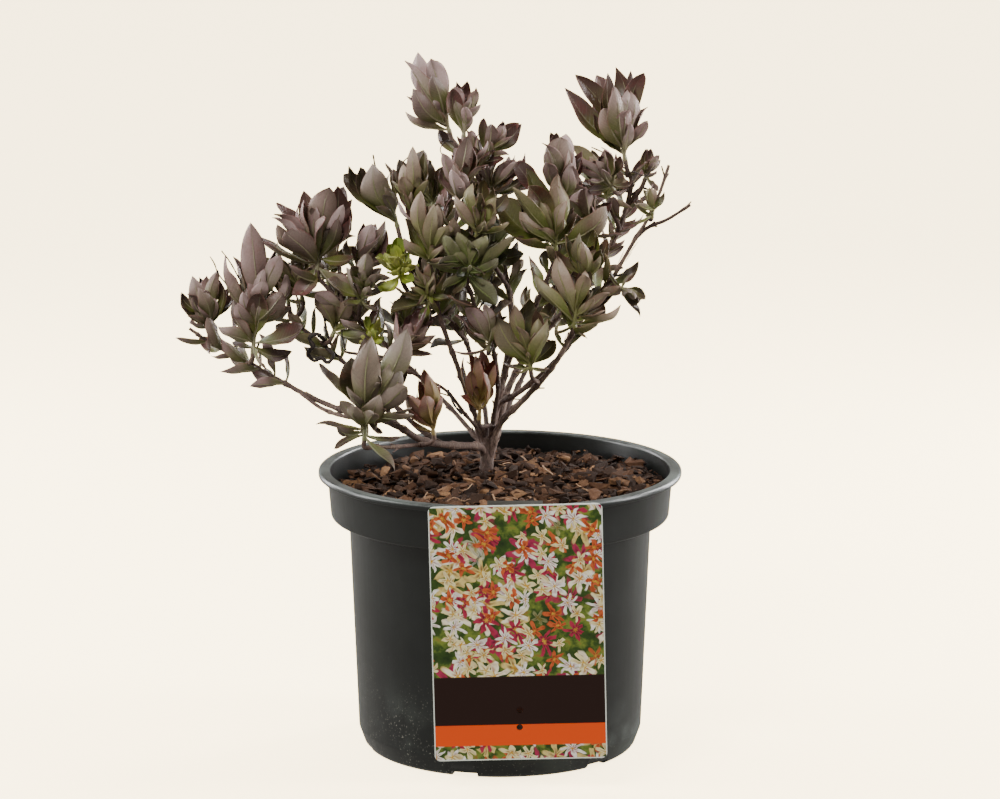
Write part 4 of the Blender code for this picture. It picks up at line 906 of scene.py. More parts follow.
# Bare dead twigs: thickness in mm, then the points in mm.
DEAD_TWIGS: list[tuple[float, list[Point]]] = [
    (1.6, [(-86, 17, 204), (-89, 14, 212), (-91, 12, 220), (-92, 11, 227)]),
    (1.2, [(-62, -1, 197), (-67, -3, 201), (-74, -4, 203), (-80, -5, 204)]),
    (1.3, [(-12, -10, 232), (-6, -12, 243), (-4, -13, 252)]),
    (1.2, [(58, 0, 249), (63, -3, 251), (66, -4, 254)]),
    (1.4, [(68, 44, 284), (74, 42, 289), (79, 41, 288)]),
    (1.4, [(-130, 13, 200), (-128, 9, 207), (-126, 8, 212)]),
    (1.4, [(-20, 2, 176), (-24, -2, 182), (-27, -4, 190)]),
]

# Leaves that only the scene has, to each listed one.
INNER_LEAVES = 2.4
INNER_ROOT_SHARE = 0.42
INNER_WIDTHS = (0.26, 0.42)
ROUND_TONES = {"yellow": 1.0, "green": 0.5, "olive": 0.25}

# Leaf pairs along the woody stems, also only in the scene: by tone, the stem and the shares of its length.
PAIR_SPACING = 0.0075
PAIR_ROOT_SHARE = 0.34
PAIR_LEAN = (0.4, 1.0)
PAIR_LIFT = Vector((0.0, 0.0, 0.35))
PAIR_LENGTHS = (0.012, 0.025)
PAIR_WIDTHS = (0.34, 0.46)
PAIR_FACE = 0.3
PAIR_TURN = 0.3
LEAFY_STEMS = {
    "plum": (("tall", 0.74, 0.97), ("right_main", 0.62, 0.99), ("left_up", 0.62, 0.98),
             ("low_left", 0.70, 0.96)),
    "bronze": (("right_inner", 0.45, 0.98), ("centre_left", 0.62, 0.98), ("right_low", 0.72, 0.97),
               ("left_mid", 0.66, 0.98), ("centre", 0.60, 0.96), ("right_outer", 0.46, 0.62)),
    "olive": (("tall", 0.48, 0.74), ("right_main", 0.44, 0.62), ("behind", 0.62, 0.98),
              ("back_mid", 0.60, 0.98), ("back_right", 0.60, 0.98), ("back_left", 0.60, 0.98)),
}

# The thickness in mm from which bark is fully old, and the stems old enough to flake.
OLD_STEM = 3.4
FLAKING = ("right_main", "right_low", "right_outer", "tall")

# Thinner dead ends and tendrils that only the scene has: thickness in mm, then the points in mm.
FINE_TWIGS: list[tuple[float, list[Point]]] = [
    (2.6, [(-91, 18, 210), (-93, 10, 215), (-96, 7, 217.5), (-99.5, 8, 215), (-97.5, 7, 211),
           (-100.5, 8, 207),
           (-97, 8, 203), (-93.5, 8, 205), (-90, 8, 202), (-87, 8, 206), (-90.5, 9, 209.5)]),
    (0.8, [(-18, 22, 311), (-23, 20, 316), (-27, 16, 318), (-30, 14, 316), (-31, 14, 313), (-29, 16, 309)]),
    (0.9, [(-127, 5, 232), (-132, 4, 241), (-136, 2, 249), (-140, 0, 257), (-144, -2, 263)]),
    (0.9, [(-130, 5, 228), (-140, 3, 242), (-146, 2, 250), (-148, 0, 256), (-150, -2, 260)]),
    (0.8, [(-127, 5, 234), (-133, 2, 250), (-136, 0, 256), (-138, -2, 260)]),
    (1.1, [(-55, 11, 282), (-62, 18, 293), (-64, 20, 299), (-65, 20, 304), (-66, 20, 310)]),
    (0.9, [(-45, 0, 288), (-52, 14, 296), (-54, 22, 300), (-51, 24, 305), (-48, 24, 308)]),
    (1.0, [(58, 1, 247), (60, 2, 251), (63, 1, 256)]),
    (1.0, [(58, 1, 247), (57, 0, 253), (55, -1, 256)]),
    (0.9, [(59, 0, 249), (64, -1, 251), (67, -2, 250)]),
    (0.8, [(43, -8, 241), (47, -8, 238), (50, -10, 241), (52, -12, 239), (51, -12, 236), (48, -11, 235)]),
    (0.7, [(43, -8, 244), (45, -9, 246), (49, -10, 244)]),
    (1.0, [(67, 40, 299), (61, 37, 303), (55, 38, 308), (48, 40, 311)]),
    (1.0, [(67, 41, 297), (70, 33, 299), (76, 32, 297), (80, 31, 301)]),
    (0.8, [(-80, 0, 210), (-81, 0, 213), (-82, -2, 218), (-82, -4, 222)]),
]


@dataclass(frozen=True)
class Shoot:
    """A leafy shoot: where it grows, and each old leaf by the height it leaves at and where it reaches.

    base and rise are in mm, the base as a place and the rise as the way from the base to the shoot's tip.
    A leaf is (share of the rise, reach in X, Y, Z in mm from the base, width as a share of its length).
    """

    stem: str
    at: float
    base: Point
    rise: Point
    tone: str
    leaves: tuple[tuple[float, float, float, float, float], ...]

    @property
    def foot(self) -> Vector:
        """The place of its base."""
        return Vector(self.base) * MM

    @property
    def reach(self) -> Vector:
        """The way from its base to its tip."""
        return Vector(self.rise) * MM

    @property
    def axis(self) -> Vector:
        """The heading of its stem."""
        return Vector(self.rise).normalized()


SHOOTS: dict[str, Shoot] = {
    "top_mid": Shoot("tall", 0.985, (-19, 14, 319), (1, 2, 11), "plum", (
        (0.7, -4, 0, 28, 0.44), (1.0, 5, 6, 24, 0.38), (0.9, 9, -6, 18, 0.40), (0.5, -9, 6, 18, 0.34),
        (0.5, 1, -10, 18, 0.36))),
    "top_left": Shoot("tall", 0.93, (-26, 20, 321), (-3, 1, 11), "plum", (
        (0.7, -22, 0, 39, 0.34), (1.0, -9, 4, 35, 0.36), (0.8, -9, -8, 31, 0.36), (0.4, -18, 6, 21, 0.36),
        (0.1, -24, 0, 8, 0.32))),
    "top_right": Shoot("tall", 0.80, (-8, 21, 306), (3, 0, 8), "plum", (
        (0.8, 19, 2, 20, 0.40), (0.7, 4, -6, 21, 0.46), (1.0, 9, 6, 15, 0.36), (0.4, 13, -8, 6, 0.36),
        (0.3, -6, 8, 8, 0.40))),
    "mid_right": Shoot("tall", 0.62, (-6, 21, 286), (3, 2, 9), "plum", (
        (0.7, 13, -2, 23, 0.36), (1.0, 8, 6, 20, 0.36), (0.3, 25, 2, 7, 0.48), (0.6, -6, -4, 19, 0.36),
        (0.3, 14, -12, 13, 0.40))),
    "right_top": Shoot("right_main", 1.0, (66, 40, 303), (-3, 0, 16), "plum", (
        (0.5, -31, 2, 40, 0.32), (0.8, -11, 6, 37, 0.38), (1.0, -7, 0, 41, 0.34), (0.9, 1, 6, 48, 0.18),
        (0.4, -12, -10, 30, 0.44), (0.6, -3, -8, 32, 0.50), (0.7, 10, 2, 30, 0.44), (0.4, 11, -6, 23, 0.34),
        (0.2, -19, 6, 19, 0.44))),
    "right_top_side": Shoot("right_main", 0.86, (76, 42, 293), (2, 0, 6), "plum", (
        (0.8, 4, 4, 16, 0.40), (0.6, 8, -2, 10, 0.60), (0.3, 7, -4, -5, 0.50), (0.7, -1, 8, 12, 0.40))),
    "right_back": Shoot("right_main", 0.78, (58, 42, 279), (-5, 4, 13), "bronze", (
        (0.8, -23, 6, 27, 0.34), (0.6, -11, -6, 26, 0.50), (0.3, -15, 4, 10, 0.45), (0.2, 12, -10, 2, 0.40),
        (1.0, -4, 8, 23, 0.40))),
    "right_mid_top": Shoot("right_inner", 0.72, (32, 14, 284), (0, 0, 14), "plum", (
        (0.5, -1, -6, 37, 0.56), (0.8, 3, 6, 31, 0.42), (0.2, -23, 0, 24, 0.36), (0.6, 11, 4, 22, 0.42),
        (0.3, 13, -4, 11, 0.50), (0.4, -7, -12, 26, 0.42), (0.3, 7, -12, 23, 0.42))),
    "right_mid": Shoot("right_inner", 1.0, (29, 4, 262), (0, -1, 10), "bronze", (
        (0.4, -31, 4, 29, 0.52), (0.6, -20, 10, 32, 0.40), (0.1, -22, -8, 7, 0.62), (0.6, -9, -6, 26, 0.34),
        (0.8, 2, -10, 27, 0.42), (0.3, 27, -6, 21, 0.44), (1.0, 9, 6, 22, 0.36))),
    "right_small": Shoot("right_low", 1.0, (43, -8, 246), (2, 0, 9), "bronze", (
        (0.3, -16, -4, 18, 0.36), (0.6, -3, -8, 22, 0.40), (0.9, 5, 0, 30, 0.36), (0.7, 13, 6, 23, 0.38),
        (0.4, 9, -8, 16, 0.40), (0.2, -18, 6, 5, 0.34))),
    "right_low_shoot": Shoot("right_low", 0.74, (38, -12, 224), (2, -3, 14), "bronze", (
        (0.2, -22, -2, 26, 0.28), (0.6, -8, 4, 23, 0.34), (0.1, 25, -4, 9, 0.34), (0.9, 8, -2, 22, 0.36),
        (1.0, 14, 6, 22, 0.34), (0.05, 7, -6, -4, 0.30), (0.05, -10, -4, -2, 0.25))),
    "droop": Shoot("right_outer", 0.62, (61, -5, 245), (2, -3, -1), "olive", (
        (0.8, 13, 0, -15, 0.46), (0.9, -5, -3, 9, 0.30), (0.9, 7, 0, 7, 0.30))),
    "bud_pair": Shoot("right_outer", 0.84, (78, -7, 281), (1, -1, 5), "bronze", (
        (0.7, 1, -1, 15, 0.66), (0.2, -11, -5, -3, 0.30))),
    "front_right": Shoot("right_low", 0.45, (16, -10, 201), (-1, -2, 13), "bronze", (
        (0.7, -2, 2, 38, 0.48), (0.3, -18, -4, 29, 0.42), (0.6, 8, -4, 29, 0.26), (0.2, 13, 4, 15, 0.46),
        (0.05, 9, -2, 1, 0.40), (0.05, -15, -2, 4, 0.34), (0.1, -9, -6, 0, 0.50))),
    "centre_low": Shoot("centre", 0.10, (-11, 4, 172), (1, -2, 15), "red", (
        (0.6, 2, -2, 38, 0.42), (0.3, -10, -4, 34, 0.20), (0.9, 6, 2, 31, 0.36), (0.3, -9, 2, 14, 0.42),
        (0.3, -2, -10, 21, 0.36), (0.6, 7, -8, 21, 0.30))),
    "centre_small": Shoot("centre", 0.62, (-6, -8, 211), (1, -3, 10), "plum", (
        (0.6, -14, -4, 23, 0.38), (0.1, -18, -2, 0, 0.20), (0.8, 3, 2, 23, 0.36), (0.6, 7, -4, 15, 0.30))),
    "centre_front": Shoot("centre", 1.0, (-17, -15, 251), (1, -1, 11), "green", (
        (0.5, -4, 2, 26, 0.54), (0.9, 10, 4, 23, 0.34), (0.3, 24, -2, 22, 0.52), (0.2, -21, -2, 9, 0.40),
        (0.05, -14, -6, -4, 0.60), (0.05, -6, -8, -7, 0.60), (0.0, 16, -4, -12, 0.46),
        (0.6, 6, -10, 18, 0.34))),
    "mid_dense": Shoot("centre_left", 0.74, (-37, -9, 254), (2, -2, 15), "bronze", (
        (0.4, -11, -4, 28, 0.42), (0.8, 5, -6, 35, 0.42), (0.6, 11, -10, 26, 0.40), (0.3, -13, -8, 16, 0.40),
        (0.3, 15, -4, 12, 0.40), (1.0, -4, 6, 31, 0.40), (0.2, 8, -12, 5, 0.40))),
    "mid_top": Shoot("centre_left", 1.0, (-22, -2, 284), (1, 2, 13), "plum", (
        (0.6, -6, -2, 28, 0.40), (0.9, 6, 6, 28, 0.36), (0.4, -11, 4, 19, 0.30), (0.7, 11, 0, 32, 0.36),
        (0.2, 17, -6, 13, 0.46), (0.4, 2, -12, 21, 0.40), (0.6, -3, -14, 21, 0.30))),
    "mid_back": Shoot("tall", 0.58, (-34, 26, 278), (-2, 3, 10), "olive", (
        (0.7, 7, 2, 25, 0.62), (0.6, -9, 0, 20, 0.50), (0.9, 1, 6, 26, 0.40), (0.3, -13, 6, 11, 0.45))),
    "mid_top_left": Shoot("centre_left", 0.84, (-44, -2, 279), (-2, 2, 12), "bronze", (
        (0.8, -9, 4, 31, 0.40), (0.6, -7, -8, 25, 0.38), (1.0, 0, 0, 32, 0.32), (0.3, -5, -12, 18, 0.24),
        (0.6, 7, -6, 22, 0.40))),
    "mid_left": Shoot("behind", 0.90, (-53, 8, 273), (-3, 3, 12), "olive", (
        (0.2, -27, 2, 32, 0.17), (0.5, -13, -8, 33, 0.48), (0.9, -7, 8, 23, 0.36),
        (0.3, -11, -10, 14, 0.30))),
    "yellow_green": Shoot("behind", 1.0, (-51, -5, 249), (-2, -2, 7), "yellow", (
        (0.4, -13, -2, 12, 0.75), (0.7, -5, 0, 17, 0.70), (0.8, 3, 4, 13, 0.70), (0.5, 9, -4, 8, 0.70),
        (0.2, -10, -6, -7, 0.55), (0.4, -2, -10, 6, 0.70), (0.2, 6, -8, 1, 0.60))),
    "mid_low": Shoot("behind", 0.80, (-37, -7, 235), (0, -1, 11), "bronze", (
        (0.1, -19, -4, 0, 0.48), (0.3, -18, 0, 11, 0.45), (0.6, -8, 6, 18, 0.40), (0.5, 11, -6, 6, 0.40),
        (0.8, 1, -6, 24, 0.40), (0.1, -2, -6, -9, 0.60))),
    "left_pink": Shoot("thin_left", 0.62, (-53, -9, 209), (2, 0, 7), "pink", (
        (0.4, 0, -6, 24, 0.52), (0.5, 18, 2, 19, 0.34), (0.1, 18, -2, 1, 0.36), (0.8, 6, 6, 21, 0.42),
        (0.5, 11, -8, 14, 0.40))),
    "green_rosette": Shoot("left_up", 0.40, (-66, -5, 214), (0, -1, 5), "yellow", (
        (0.5, -7, -2, 1, 0.70), (0.5, 6, 0, 3, 0.70), (1.0, 0, 2, 10, 0.80), (0.8, 3, -7, 1, 0.70))),
    "big_left": Shoot("left_up", 1.0, (-95, 6, 251), (1, 3, 13), "plum", (
        (0.2, -32, -4, 20, 0.36), (0.5, -20, 4, 36, 0.40), (0.5, -8, -8, 38, 0.42), (0.8, -7, 8, 41, 0.40),
        (1.0, 1, 6, 38, 0.36), (0.9, 6, -4, 46, 0.44), (0.5, 21, -8, 28, 0.38), (0.5, 18, 10, 28, 0.42),
        (0.05, 28, -10, -12, 0.50), (0.05, -12, -8, -13, 0.62), (0.2, -17, -14, 20, 0.50))),
    "big_left_side": Shoot("left_up", 0.80, (-76, 12, 248), (4, 3, 8), "plum", (
        (0.6, 9, -6, 27, 0.38), (0.8, 5, 8, 26, 0.36), (0.8, 17, 4, 23, 0.36), (0.6, 14, -8, 20, 0.34),
        (0.3, 18, 8, 15, 0.40), (0.1, 19, -8, -1, 0.40), (0.2, -6, 8, 16, 0.45))),
    "left_under": Shoot("left_mid", 0.76, (-88, 10, 215), (4, 3, 10), "bronze", (
        (0.4, -8, -4, 22, 0.42), (0.8, 6, 6, 23, 0.48), (0.6, 23, -4, 19, 0.50), (0.2, 20, -8, 4, 0.45),
        (0.2, -16, 6, 9, 0.35), (0.8, 15, -10, 23, 0.40))),
    "left_back": Shoot("left_mid", 1.0, (-111, 24, 230), (-2, 4, 9), "bronze", (
        (0.5, -12, 2, 26, 0.42), (0.7, -5, 6, 22, 0.40), (0.9, 2, -4, 22, 0.42), (0.6, 5, 8, 17, 0.42),
        (0.3, -8, -10, 9, 0.42), (0.2, 8, -10, 3, 0.40))),
    "left_front": Shoot("low_left", 0.80, (-129, 2, 207), (3, 4, 27), "plum", (
        (0.7, -15, -4, 52, 0.38), (0.8, -7, 4, 52, 0.42), (0.5, -7, -10, 29, 0.42), (0.15, -17, -6, 14, 0.50),
        (0.15, 28, -8, 16, 0.46), (0.1, 7, -12, -5, 0.50), (0.05, -11, 8, 5, 0.40), (0.05, 20, 4, 0, 0.40),
        (0.9, 7, -8, 40, 0.50), (0.6, 17, -10, 39, 0.40), (1.0, -1, 10, 48, 0.35))),
    "left_end": Shoot("low_left", 0.92, (-152, 14, 216), (-2, 2, 13), "plum", (
        (0.5, -8, -4, 31, 0.42), (0.8, 4, 8, 29, 0.36), (0.5, -16, 2, 20, 0.40), (0.2, -9, -12, 9, 0.50),
        (0.6, 14, 6, 22, 0.40), (0.1, 0, -12, -9, 0.50), (0.9, -3, -8, 27, 0.30))),
    "front_left": Shoot("low_front", 1.0, (-70, -37, 169), (3, 4, 24), "olive", (
        (0.6, -24, 2, 40, 0.22), (0.5, -5, -2, 44, 0.46), (0.8, 3, 8, 45, 0.40), (0.5, 19, -4, 44, 0.26),
        (0.5, 14, 10, 26, 0.40), (0.35, 25, 0, 18, 0.34), (0.2, -24, 2, 12, 0.25), (0.15, -13, -12, 10, 0.30),
        (0.05, -15, -4, -2, 0.20), (0.05, 18, 6, -3, 0.20), (0.0, 15, -8, -14, 0.36), (0.3, 8, -12, 25, 0.50),
        (0.3, -6, -14, 21, 0.50), (0.6, 9, -8, 34, 0.40))),
    "front_small": Shoot("low_front", 0.25, (-34, -25, 170), (-2, 0, 12), "red", (
        (0.3, -14, -4, 24, 0.46), (0.8, -8, 4, 29, 0.22), (0.8, 2, 6, 26, 0.34), (0.5, 5, -4, 21, 0.34),
        (0.5, -4, -10, 23, 0.50), (0.1, -12, 4, 8, 0.22))),
    "top_low": Shoot("tall", 0.88, (-12, 16, 300), (-3, -2, 9), "plum", (
        (0.6, -12, -4, 15, 0.38), (0.6, 7, -7, 17, 0.40), (0.4, 14, 2, 10, 0.38), (0.9, -2, 6, 19, 0.38),
        (0.3, 4, -12, 5, 0.42))),
    "right_top_low": Shoot("right_main", 0.93, (60, 32, 289), (-6, -4, 9), "plum", (
        (0.5, -19, -4, 13, 0.38), (0.6, -9, -8, 20, 0.42), (0.7, 5, -8, 19, 0.40), (0.3, 10, -8, 5, 0.42),
        (0.2, -14, -6, 1, 0.44))),
    "right_spine": Shoot("right_main", 0.66, (50, 38, 260), (-4, -4, 12), "plum", (
        (0.5, -16, -4, 24, 0.38), (0.6, 8, -6, 23, 0.40), (0.9, -6, 4, 28, 0.36), (0.3, 14, -8, 8, 0.42),
        (0.3, -18, -8, 9, 0.42), (0.4, 0, -13, 16, 0.42))),
    "right_spine_low": Shoot("right_main", 0.50, (38, 36, 238), (-3, -5, 11), "bronze", (
        (0.5, -14, -4, 20, 0.40), (0.6, 8, -6, 21, 0.40), (0.9, -4, 4, 25, 0.36), (0.3, 12, -6, 6, 0.42),
        (0.2, -15, -8, 4, 0.44))),
    "mid_front": Shoot("centre_left", 0.90, (-13, -11, 270), (3, -3, 12), "bronze", (
        (0.4, -11, -6, 23, 0.42), (0.6, 11, -8, 24, 0.42), (0.3, 18, -2, 8, 0.42), (0.9, 0, 6, 28, 0.38),
        (0.3, 5, -12, 11, 0.44), (0.2, -9, -10, 4, 0.44))),
    "mid_low_right": Shoot("tall", 0.47, (-4, 17, 254), (-4, -6, 10), "green", (
        (0.5, -14, -6, 20, 0.46), (0.6, 11, -4, 22, 0.44), (0.9, 0, 4, 25, 0.40), (0.3, 16, -6, 6, 0.46),
        (0.3, -13, -10, 4, 0.46), (0.4, 2, -13, 13, 0.44))),
    "mid_back_low": Shoot("behind", 0.62, (-31, 22, 232), (-3, 2, 12), "olive", (
        (0.5, -16, -4, 18, 0.44), (0.6, 9, -6, 20, 0.42), (0.9, -4, 6, 24, 0.40), (0.3, 12, 4, 6, 0.44),
        (0.2, -13, -8, 4, 0.46))),
    "left_fill": Shoot("left_up", 0.60, (-72, -8, 236), (2, -4, 10), "olive", (
        (0.4, -16, -6, 15, 0.44), (0.6, 11, -8, 18, 0.42), (0.4, 16, 0, 10, 0.42), (0.9, 0, 4, 23, 0.40),
        (0.2, -8, -11, 2, 0.46), (0.2, 9, -10, -2, 0.46))),
    "left_inner": Shoot("left_mid", 0.92, (-103, 13, 234), (-2, -3, 11), "bronze", (
        (0.5, -13, -4, 18, 0.42), (0.6, 11, -6, 20, 0.42), (0.9, 0, 4, 25, 0.38), (0.3, 13, -8, 4, 0.44),
        (0.3, 0, -13, 11, 0.44))),
    "back_mid_shoot": Shoot("back_mid", 1.0, (-35, 63, 256), (-1, 3, 14), "plum", (
        (0.5, -22, 6, 20, 0.42), (0.5, 18, 10, 20, 0.42), (0.7, -6, 18, 26, 0.42), (0.7, 4, -8, 26, 0.42),
        (0.2, -12, 24, 8, 0.44), (0.2, 10, -18, 10, 0.44), (0.9, -8, 6, 30, 0.40), (0.9, 6, 8, 30, 0.40))),
    "back_mid_low": Shoot("back_mid", 0.62, (-14, 62, 222), (3, 5, 10), "olive", (
        (0.5, -12, 14, 16, 0.42), (0.5, 18, 6, 16, 0.42), (0.7, 4, 18, 22, 0.42), (0.2, -14, 4, 4, 0.44),
        (0.2, 14, 18, 4, 0.44), (0.9, 4, 6, 26, 0.40))),
    "back_right_shoot": Shoot("back_right", 1.0, (37, 71, 260), (1, 3, 14), "plum", (
        (0.5, -22, 4, 18, 0.42), (0.5, 20, 10, 20, 0.42), (0.7, -6, 18, 26, 0.42), (0.7, 4, -8, 26, 0.42),
        (0.2, -10, 24, 8, 0.44), (0.2, 12, -16, 8, 0.44), (0.9, -8, 6, 30, 0.40), (0.9, 6, 8, 30, 0.40))),
    "back_left_shoot": Shoot("back_left", 1.0, (-91, 54, 235), (-3, 2, 13), "bronze", (
        (0.5, -22, 2, 16, 0.42), (0.5, 16, 10, 20, 0.42), (0.7, -8, 18, 22, 0.42), (0.7, 2, -12, 22, 0.42),
        (0.2, -10, 22, 6, 0.44), (0.2, 10, -16, 6, 0.44), (0.9, -6, 6, 27, 0.40))),
    "back_left_low": Shoot("back_left", 0.58, (-52, 60, 206), (1, 5, 9), "olive", (
        (0.5, -14, 12, 14, 0.42), (0.5, 16, 8, 14, 0.42), (0.7, 2, 20, 18, 0.42), (0.2, -14, 2, 3, 0.44),
        (0.9, 4, 4, 22, 0.40))),
}

# What a leaf that meets another piece tries, in order: degrees of tilt and turn, and share of its length.
TRIES = [(0, 0, 1.0)] + [
    (tilt, turn, shorter)
    for shorter in (1.0, 0.85, 0.7)
    for tilt, turn in ((6, 0), (-6, 0), (0, 9), (0, -9), (12, 0), (-12, 0), (0, 18), (0, -18),
                       (10, 14), (10, -14), (-10, 14), (-10, -14), (20, 0), (-20, 0), (0, 30), (0, -30))
]


def in_metres(corners: Iterable[Point]) -> Route:
    """A table's points, which are in millimetres, as places."""
    return [Vector(corner) * MM for corner in corners]


def length_of(route: Route) -> float:
    """How long a route is."""
    return sum((end - start).length for start, end in zip(route, route[1:]))


def along(route: Route, share: float) -> tuple[Vector, Vector]:
    """Finds a point on a route.

    Args:
        route: the line's points.
        share: how far along it, from 0 to 1.

    Returns:
        The point, and the line's heading there.
    """
    lengths = [0.0]
    for start, end in zip(route, route[1:]):
        lengths.append(lengths[-1] + (end - start).length)
    target = share * lengths[-1]
    last = len(route) - 2
    i = next((k for k in range(last) if target <= lengths[k + 1]), last)
    part = min(1.0, (target - lengths[i]) / (lengths[i + 1] - lengths[i]))
    return route[i].lerp(route[i + 1], part), (route[i + 1] - route[i]).normalized()


def smooth_route(corners: Sequence[Vector], spacing: float) -> Route:
    """Draws a smooth curve through corners.

    Args:
        corners: what it runs through.
        spacing: about how far its points stand apart.

    Returns:
        Points at an even spacing on the curve.
    """
    padded = [corners[0] * 2 - corners[1], *corners, corners[-1] * 2 - corners[-2]]
    fine = []
    for a, b, c, d in zip(padded, padded[1:], padded[2:], padded[3:]):
        for step in range(CURVE_STEPS):
            t = step / CURVE_STEPS
            fine.append(0.5 * (2 * b + (c - a) * t + (2 * a - 5 * b + 4 * c - d) * t * t
                               + (3 * b - a - 3 * c + d) * t * t * t))
    fine.append(corners[-1].copy())
    count = max(2, round(length_of(fine) / spacing))
    return [along(fine, i / count)[0] for i in range(count + 1)]


def tube(points: Route, radii: Sequence[float], sides: int, turn: float = 0.0,
         last_ahead: Vector | None = None, rough: Callable[[Vector], float] | None = None) -> Mesh:
    """Makes a closed tube round some points.

    Args:
        points: its middle line.
        radii: its radius at each point.
        sides: how many sides it has.
        turn: the angle of its first side.
        last_ahead: the way its last end faces, or the route's own.
        rough: a share that each point of the skin is moved out by.

    Returns:
        The tube's points and faces.
    """
    skin = []
    side = None
    for i, point in enumerate(points):
        ahead = (points[min(i + 1, len(points) - 1)] - points[max(i - 1, 0)]).normalized()
        if last_ahead and i == len(points) - 1:
            ahead = last_ahead
        side = side or ahead.orthogonal()
        side = (side - ahead * side.dot(ahead)).normalized()
        out = ahead.cross(side)
        for k in range(sides):
            angle = turn + 2 * math.pi * k / sides
            arm = radii[i] * (side * math.cos(angle) + out * math.sin(angle))
            skin.append(point + arm * (1.0 + (rough(point + arm) if rough else 0.0)))
    faces = [tuple(reversed(range(sides)))]
    for here in range(len(skin) - sides):
        beside = here - here % sides + (here + 1) % sides
        faces.append((here, beside, beside + sides, here + sides))
    faces.append(tuple(range(len(skin) - sides, len(skin))))
    return skin, faces


def circle(radius: float, sides: int) -> list[tuple[float, float]]:
    """Corners, in X and Y, of an even polygon round the pot's axis."""
    angles = [2 * math.pi * i / sides for i in range(sides)]
    return [(radius * math.cos(a), radius * math.sin(a)) for a in angles]


def turned_faces(rings: int, sides: int) -> list[Face]:
    """Faces of a turned solid whose points are one on the axis, the rings in order and one on the axis.

    Args:
        rings: how many rings it has.
        sides: points to a ring.

    Returns:
        The faces, which look out where the rings run up the inside and down the outside.
    """
    last = 1 + rings * sides
    faces = []
    for i in range(sides):
        j = (i + 1) % sides
        faces.append((0, 1 + i, 1 + j))
        for low in range(1, last - sides, sides):
            faces.append((low + i, low + sides + i, low + sides + j, low + j))
        faces.append((last, last - sides + j, last - sides + i))
    return faces


def sheet_faces(rows: int, columns: int) -> list[Face]:
    """Faces of a thin sheet whose points are those of its first skin, row by row, then of its second.

    Args:
        rows: faces along it.
        columns: faces across it.

    Returns:
        Both skins, and the strips that join them all round.
    """
    width = columns + 1
    half = (rows + 1) * width
    faces = []
    for row in range(rows):
        a, b = row * width, row * width + columns
        for here in range(a, b):
            faces.append((here, here + width, here + width + 1, here + 1))
            faces.append((half + here, half + here + 1, half + here + width + 1, half + here + width))
        faces.append((a, half + a, half + a + width, a + width))
        faces.append((b, b + width, half + b + width, half + b))
    for column in range(columns):
        a = rows * width + column
        faces.append((column, column + 1, half + column + 1, half + column))
        faces.append((a, half + a, half + a + 1, a + 1))
    return faces


def flipped(faces: Iterable[Face]) -> list[Face]:
    """The same faces, looking the other way."""
    return [face[:1] + face[:0:-1] for face in faces]


def tree_of(meshes: Iterable[Mesh]) -> BVHTree:
    """Makes one search tree, for finding what meets any of some meshes.

    Args:
        meshes: the points and faces of each.

    Returns:
        The tree.
    """
    points: list[Vector] = []
    faces: list[Face] = []
    for mesh_points, mesh_faces in meshes:
        faces += [tuple(corner + len(points) for corner in face) for face in mesh_faces]
        points += mesh_points
    return BVHTree.FromPolygons(points, faces)


def cut(piece: bpy.types.Object, shape: bmesh.types.BMesh) -> None:
    """Cuts a shape out of a piece and applies the cut.

    Args:
        piece: what is cut.
        shape: what is taken out of it, which is freed.
    """
    mesh = bpy.data.meshes.new("cutter")
    shape.to_mesh(mesh)
    shape.free()
    cutter = bpy.data.objects.new("cutter", mesh)
    bpy.context.scene.collection.objects.link(cutter)
    step = piece.modifiers.new("cut", "BOOLEAN")
    step.operation = "DIFFERENCE"
    step.solver = "EXACT"
    step.object = cutter
    with bpy.context.temp_override(object=piece, active_object=piece):
        bpy.ops.object.modifier_apply(modifier=step.name)
    bpy.data.objects.remove(cutter, do_unlink=True)


